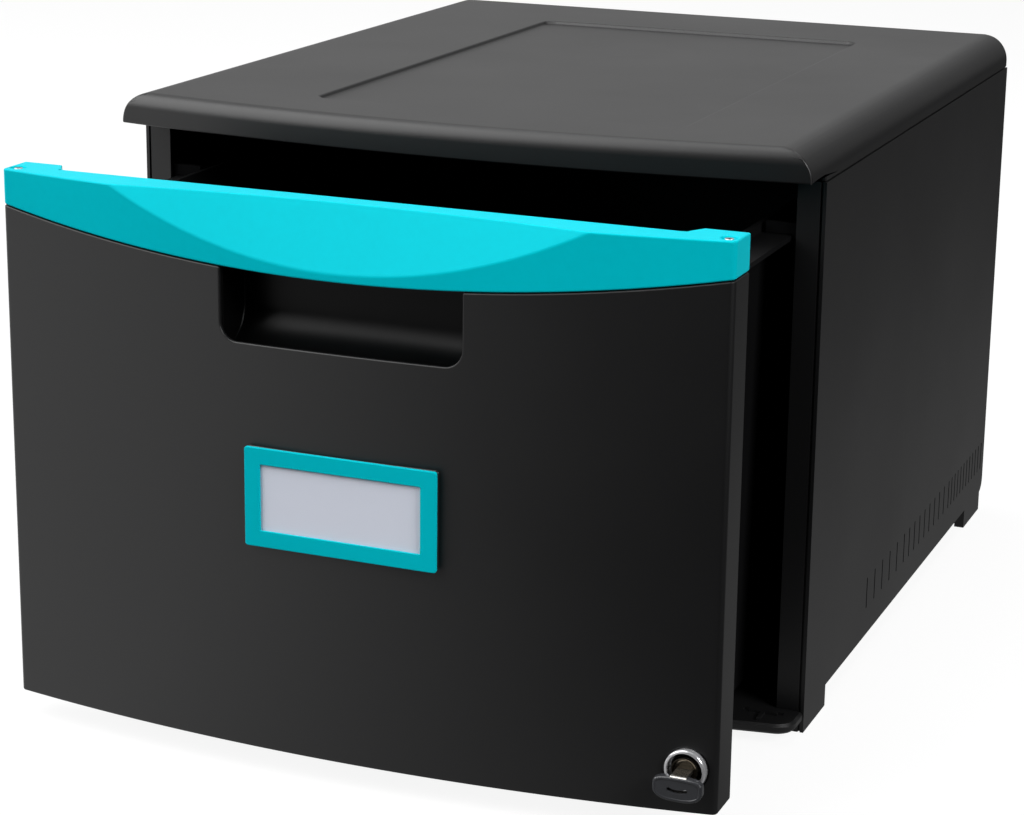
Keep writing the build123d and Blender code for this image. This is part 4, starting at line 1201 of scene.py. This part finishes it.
# %% Curved eye
EYE_RADIUS = 11.0 * MM
EYE_HALF_ANGLE = radians(27)
EYE_HALF_HEIGHT = 0.85 * MM
EYE_DROP = 0.9 * MM
EYE_END_ROUND = 0.7 * MM
EYE_END = 0.4 * EYE_RADIUS
EYE_COLUMNS = 24

eye_z = head_centre.z - EYE_DROP


def to_arc(co):
    """Bends a bar that is two metres long into a short arc, as a move for push."""
    radius = EYE_RADIUS - co.z
    angle = co.x * EYE_HALF_ANGLE
    return (
        head_centre.x + radius * sin(angle) - co.x,
        0,
        eye_z + EYE_RADIUS - radius * cos(angle) - co.z,
    )


eye = add_block(
    "eye_space",
    (-1, head_low.y - MARGIN, -EYE_HALF_HEIGHT),
    (1, head_high.y + MARGIN, EYE_HALF_HEIGHT),
)
edit(eye)
cut_columns(eye, EYE_COLUMNS)
push(eye, lambda co: True, to_arc)
round_edges(
    eye,
    lambda edge: along(edge, 1) and abs(middle_of(edge).x - head_centre.x) > EYE_END,
    EYE_END_ROUND,
    4,
)
face_outwards()
object_mode()
combine(head, eye, folded=True)
print("with eye", len(head.data.polygons))

# %% Knuckle notch
KNUCKLE_HALF = 4.3 * MM
KNUCKLE_SKIN = 0.9 * MM
KNUCKLE_FLOOR = 7.9 * MM

knuckle = add_block(
    "knuckle_space",
    (head_centre.x - KNUCKLE_HALF, head_low.y + KNUCKLE_SKIN, head_low.z + KNUCKLE_FLOOR),
    (head_centre.x + KNUCKLE_HALF, head_high.y + MARGIN, head_high.z + MARGIN),
)
combine(head, knuckle, folded=True)
soften(head, 0.2 * MM, 2, 50)
hand_over(head, "key_head", ["key_head"], smoked.material)

# %% [markdown]
# ## Drawer front
# The front is an open-backed moulding that bows like the trim above it. A smaller copy of the
# full solid is cut out of it, which leaves one even wall all round.

# %% Front shell
FRONT_WALL = 2.6 * MM
TRIM_JOINT = 0.6 * MM


def front_solid(name, inset, past_rear=0):
    """The front as a full solid under the arch, smaller on every side by the inset."""
    top_z = arch_end_z - TRIM_JOINT - inset
    solid = bowed_block(
        name,
        half_front - inset,
        front_corner_y + inset,
        trim_high.y + past_rear,
        front_low.z + inset,
        top_z,
    )
    edit(solid)
    push(solid, lambda co: near(co.z, top_z), arch_drop)
    if not inset:
        round_front_corners(solid)
    object_mode()
    return solid


def within_wall(name):
    """The front shrunk by half a wall, which keeps what stands behind the face inside it."""
    return front_solid(name, FRONT_WALL / 2, MARGIN)


front = front_solid("front_shell", 0)
combine(front, front_solid("front_space", FRONT_WALL, MARGIN))
print("front shell", len(front.data.polygons))

# %% [markdown]
# Under the arch sits a cupped finger pull whose lower back edge is one large round. Its walls are
# added to the shell, its space is cut out, and then the mouth is cut through the face. The mouth
# has rounded lower corners and a thin soft lip, which is what catches the light.

# %% Cup of the finger pull
PULL_MIDDLE_X = 2 * MM
PULL_HALF = 63 * MM
PULL_LIP = 0.5 * MM
PULL_WALL = 2.4 * MM
PULL_BOTTOM_Z = 220.3 * MM
PULL_DIP = 5 * MM
PULL_BACK_ROUND = 19 * MM
PULL_REACH = 28 * MM

face_y = trim_low.y


def pull_block(name, margin):
    """The cup behind the finger opening, larger on every side by the margin."""
    half = PULL_HALF + PULL_LIP + margin
    low_z = PULL_BOTTOM_Z - PULL_DIP - margin
    rear_y = face_y + PULL_REACH + margin
    block = add_block(
        name,
        (PULL_MIDDLE_X - half, face_y, low_z),
        (PULL_MIDDLE_X + half, rear_y, trim_low.z + 2 * MARGIN),
    )
    edit(block)
    round_edges(
        block,
        lambda edge: along(edge, 0)
        and near(middle_of(edge).y, rear_y)
        and near(middle_of(edge).z, low_z),
        PULL_BACK_ROUND + margin,
        16,
    )
    object_mode()
    return block


walls = pull_block("pull_walls", PULL_WALL)
combine(walls, within_wall("pull_limit"), "INTERSECT")
combine(front, walls, "UNION")
space = pull_block("pull_space", 0)
space_limit = bowed_block(
    "pull_limit",
    half_front - FRONT_WALL,
    front_corner_y + FRONT_WALL,
    trim_high.y + MARGIN,
    PULL_BOTTOM_Z - 2 * MARGIN,
    trim_high.z,
)
combine(space, space_limit, "INTERSECT")
combine(front, space)
print("with cup", len(front.data.polygons))

# %% Mouth of the finger pull
PULL_CORNER = 9 * MM
MOUTH_DEPTH = 6.5 * MM

mouth = add_block(
    "pull_mouth",
    (PULL_MIDDLE_X - PULL_HALF, face_y - MARGIN, PULL_BOTTOM_Z),
    (PULL_MIDDLE_X + PULL_HALF, face_y + MOUTH_DEPTH, trim_high.z),
)
edit(mouth)
round_edges(
    mouth,
    lambda edge: along(edge, 1) and near(middle_of(edge).z, PULL_BOTTOM_Z),
    PULL_CORNER,
    10,
)
object_mode()
combine(front, mouth)
print("with mouth", len(front.data.polygons))

# %% [markdown]
# The label sits on a flat pad and the lock in a round boss, because a flat frame and a straight
# lock can't lie on a bowed face. A slot in the floor of the shell lets the cam swing down.

# %% Label pad, lock seat and cam slot
PAD_INSET = 0.8 * MM
PAD_DEPTH = 4.4 * MM
LOCK_FIT = 0.25 * MM
LOCK_BOSS = 12.5 * MM
SEAT_WALL = 4.8 * MM
CAM_ROOM = 0.9 * MM
CAM_SLOT_LEFT = 155.0 * MM
CAM_SLOT_RIGHT = 182.4 * MM

pad = add_block(
    "label_pad",
    (label_low.x + PAD_INSET, frame_back_y, label_low.z + PAD_INSET),
    (label_high.x - PAD_INSET, frame_back_y + PAD_DEPTH, label_high.z - PAD_INSET),
)
combine(front, pad, "UNION")
boss = add_rod("lock_boss", LOCK_BOSS, face_y, ring_back_y + SEAT_WALL, lock_centre, 48)
combine(boss, within_wall("boss_limit"), "INTERSECT")
combine(front, boss, "UNION")
combine(front, add_rod("ring_seat", ring_radius + LOCK_FIT, face_y, ring_back_y, lock_centre))
barrel_hole = BARREL_RADIUS + LOCK_FIT
combine(front, add_rod("bore", barrel_hole, face_y, trim_high.y + MARGIN, lock_centre))
cam_low, cam_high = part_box("lock_cam")
cam_slot = add_block(
    "cam_slot",
    (CAM_SLOT_LEFT, cam_low.y - CAM_ROOM, front_low.z - MARGIN),
    (CAM_SLOT_RIGHT, cam_high.y + CAM_ROOM, front_low.z + MARGIN),
)
combine(front, cam_slot)
soften(front, 0.95 * MM, angle=24)
print("with seats", len(front.data.polygons))

# %% Screw posts of the front
FRONT_POST_ROOT = 7 * MM
FRONT_POST_WALL = 2.9 * MM
FRONT_POST_HOLE = 11 * MM

front_screws_low, front_screws_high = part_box("front_screws")
post_x = front_screws_high.x - SCREW_HEAD_RADIUS
low_post_z = front_screws_low.z + SCREW_HEAD_RADIUS
high_post_z = front_screws_high.z - SCREW_HEAD_RADIUS
post_front_y = front_corner_y - FRONT_POST_ROOT
post = add_rod("post", POST_RADIUS, post_front_y, trim_high.y, Vector((0, 0, 0)), 20)
edit(post)
pick_facing(post, 1, trim_high.y)
terrace([(FRONT_POST_WALL, -FRONT_POST_HOLE)])
object_mode()
posts = copies_of(
    post,
    [
        Matrix.Translation((x, 0, z))
        for x in (-post_x, post_x)
        for z in (low_post_z, high_post_z)
    ],
)
join(front, posts)
hand_over(front, "drawer", ["drawer_front"], front_plastic, angle=20)

# %% [markdown]
# ## Screws
# All the screws are steel pan heads with a cross recess. The solid screws of a set are alike, so
# the first is measured and one screw is modelled at the origin. Each solid screw gets a copy
# with its own mesh, turned to its axis and set in its place, so that it fills the same hole.

# %% One screw
HEAD_SIDES = 32
SHANK_SIDES = 16
RECESS_REACH = 0.62
RECESS_HALF = 0.4 * MM
RECESS_DEPTH = 0.34375
TIP_LENGTH = 1.5 * MM


def add_head(radius, height):
    """A rounded head over the origin, with a cross recess whose depth goes by its radius."""
    head = add_cylinder("screw", radius, height, (0, 0, height / 2), HEAD_SIDES)
    edit(head)
    round_edges(head, lambda edge: near(middle_of(edge).z, height), height * 0.4, 4)
    object_mode()
    arm = radius * RECESS_REACH
    for half_x, half_y in ((arm, RECESS_HALF), (RECESS_HALF, arm)):
        slot = add_block(
            "recess",
            (-half_x, -half_y, height - RECESS_DEPTH * radius),
            (half_x, half_y, height + MARGIN),
        )
        combine(head, slot)
    return head


def add_shank(radius, length):
    """A shank below the origin that ends in a blunt tip."""
    shank = add_cylinder("shank", radius, length, (0, 0, -length / 2), SHANK_SIDES)
    edit(shank)
    pick(shank, "FACE", lambda face: face.normal.z < -0.99)
    bpy.ops.mesh.inset(thickness=radius * 0.6)
    push(
        shank,
        lambda co: near(co.z, -length) and co.xy.length > 0.5 * radius,
        lambda co: (0, 0, min(TIP_LENGTH, length / 3)),
    )
    object_mode()
    return shank


def add_screw(head_radius, head_height, shank_radius, length):
    """A screw that points down from the origin, with its head above."""
    screw = add_head(head_radius, head_height)
    join(screw, [add_shank(shank_radius, length)])
    return screw


print("screw recess", RECESS_DEPTH, "of the head's radius")


# %% Measure the solid screws
def loose_parts(node):
    """Points of each separate body in a solid part."""
    mesh = bmesh.new()
    mesh.from_mesh(frame["nodes"][node].data)
    bmesh.ops.remove_doubles(mesh, verts=mesh.verts, dist=0.001 * MM)
    waiting = set(mesh.verts)
    parts = []
    while waiting:
        part, to_visit = [], [waiting.pop()]
        while to_visit:
            point = to_visit.pop()
            part.append(point.co.copy())
            for edge in point.link_edges:
                other = edge.other_vert(point)
                if other in waiting:
                    waiting.remove(other)
                    to_visit.append(other)
        parts.append(part)
    mesh.free()
    return parts


def measure(part):
    """Where one solid screw stands and points, as a matrix, and its sizes for add_screw."""
    low = Vector([min(co[axis] for co in part) for axis in range(3)])
    high = Vector([max(co[axis] for co in part) for axis in range(3)])
    middle = (low + high) / 2
    axis = max(range(3), key=lambda number: high[number] - low[number])

    def reach(co):
        return max(abs(co[other] - middle[other]) for other in range(3) if other != axis)

    ends = [[co for co in part if near(co[axis], end)] for end in (low[axis], high[axis])]
    wide = max(reach(co) for co in part)
    narrow = min(max(reach(co) for co in end) for end in ends)
    head = [co[axis] for co in part if reach(co) > (wide + narrow) / 2]
    head_height = max(head) - min(head)
    length = high[axis] - low[axis] - head_height
    head_at_high = abs(max(head) - high[axis]) < abs(min(head) - low[axis])
    up = Vector((0, 0, 0))
    up[axis] = 1 if head_at_high else -1
    middle[axis] = min(head) if head_at_high else max(head)
    turn_to = Vector((0, 0, 1)).rotation_difference(up).to_matrix().to_4x4()
    return Matrix.Translation(middle) @ turn_to, (wide, head_height, narrow, length)


print("solid screws in the lid", len(loose_parts("cover_screws")))

# %% Screws in their places
SCREW_SETS = ("cover", "floor", "back", "runner", "front", "trim")
for place in SCREW_SETS:
    node = place + "_screws"
    measured = [measure(part) for part in loose_parts(node)]
    pattern = add_screw(*measured[0][1])
    first, *others = copies_of(pattern, [matrix for matrix, sizes in measured])
    first.name = place + "_screw_set"
    join(first, others)
    hand_over(first, frame["nodes"][node]["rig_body"], [node], zinc, angle=25)
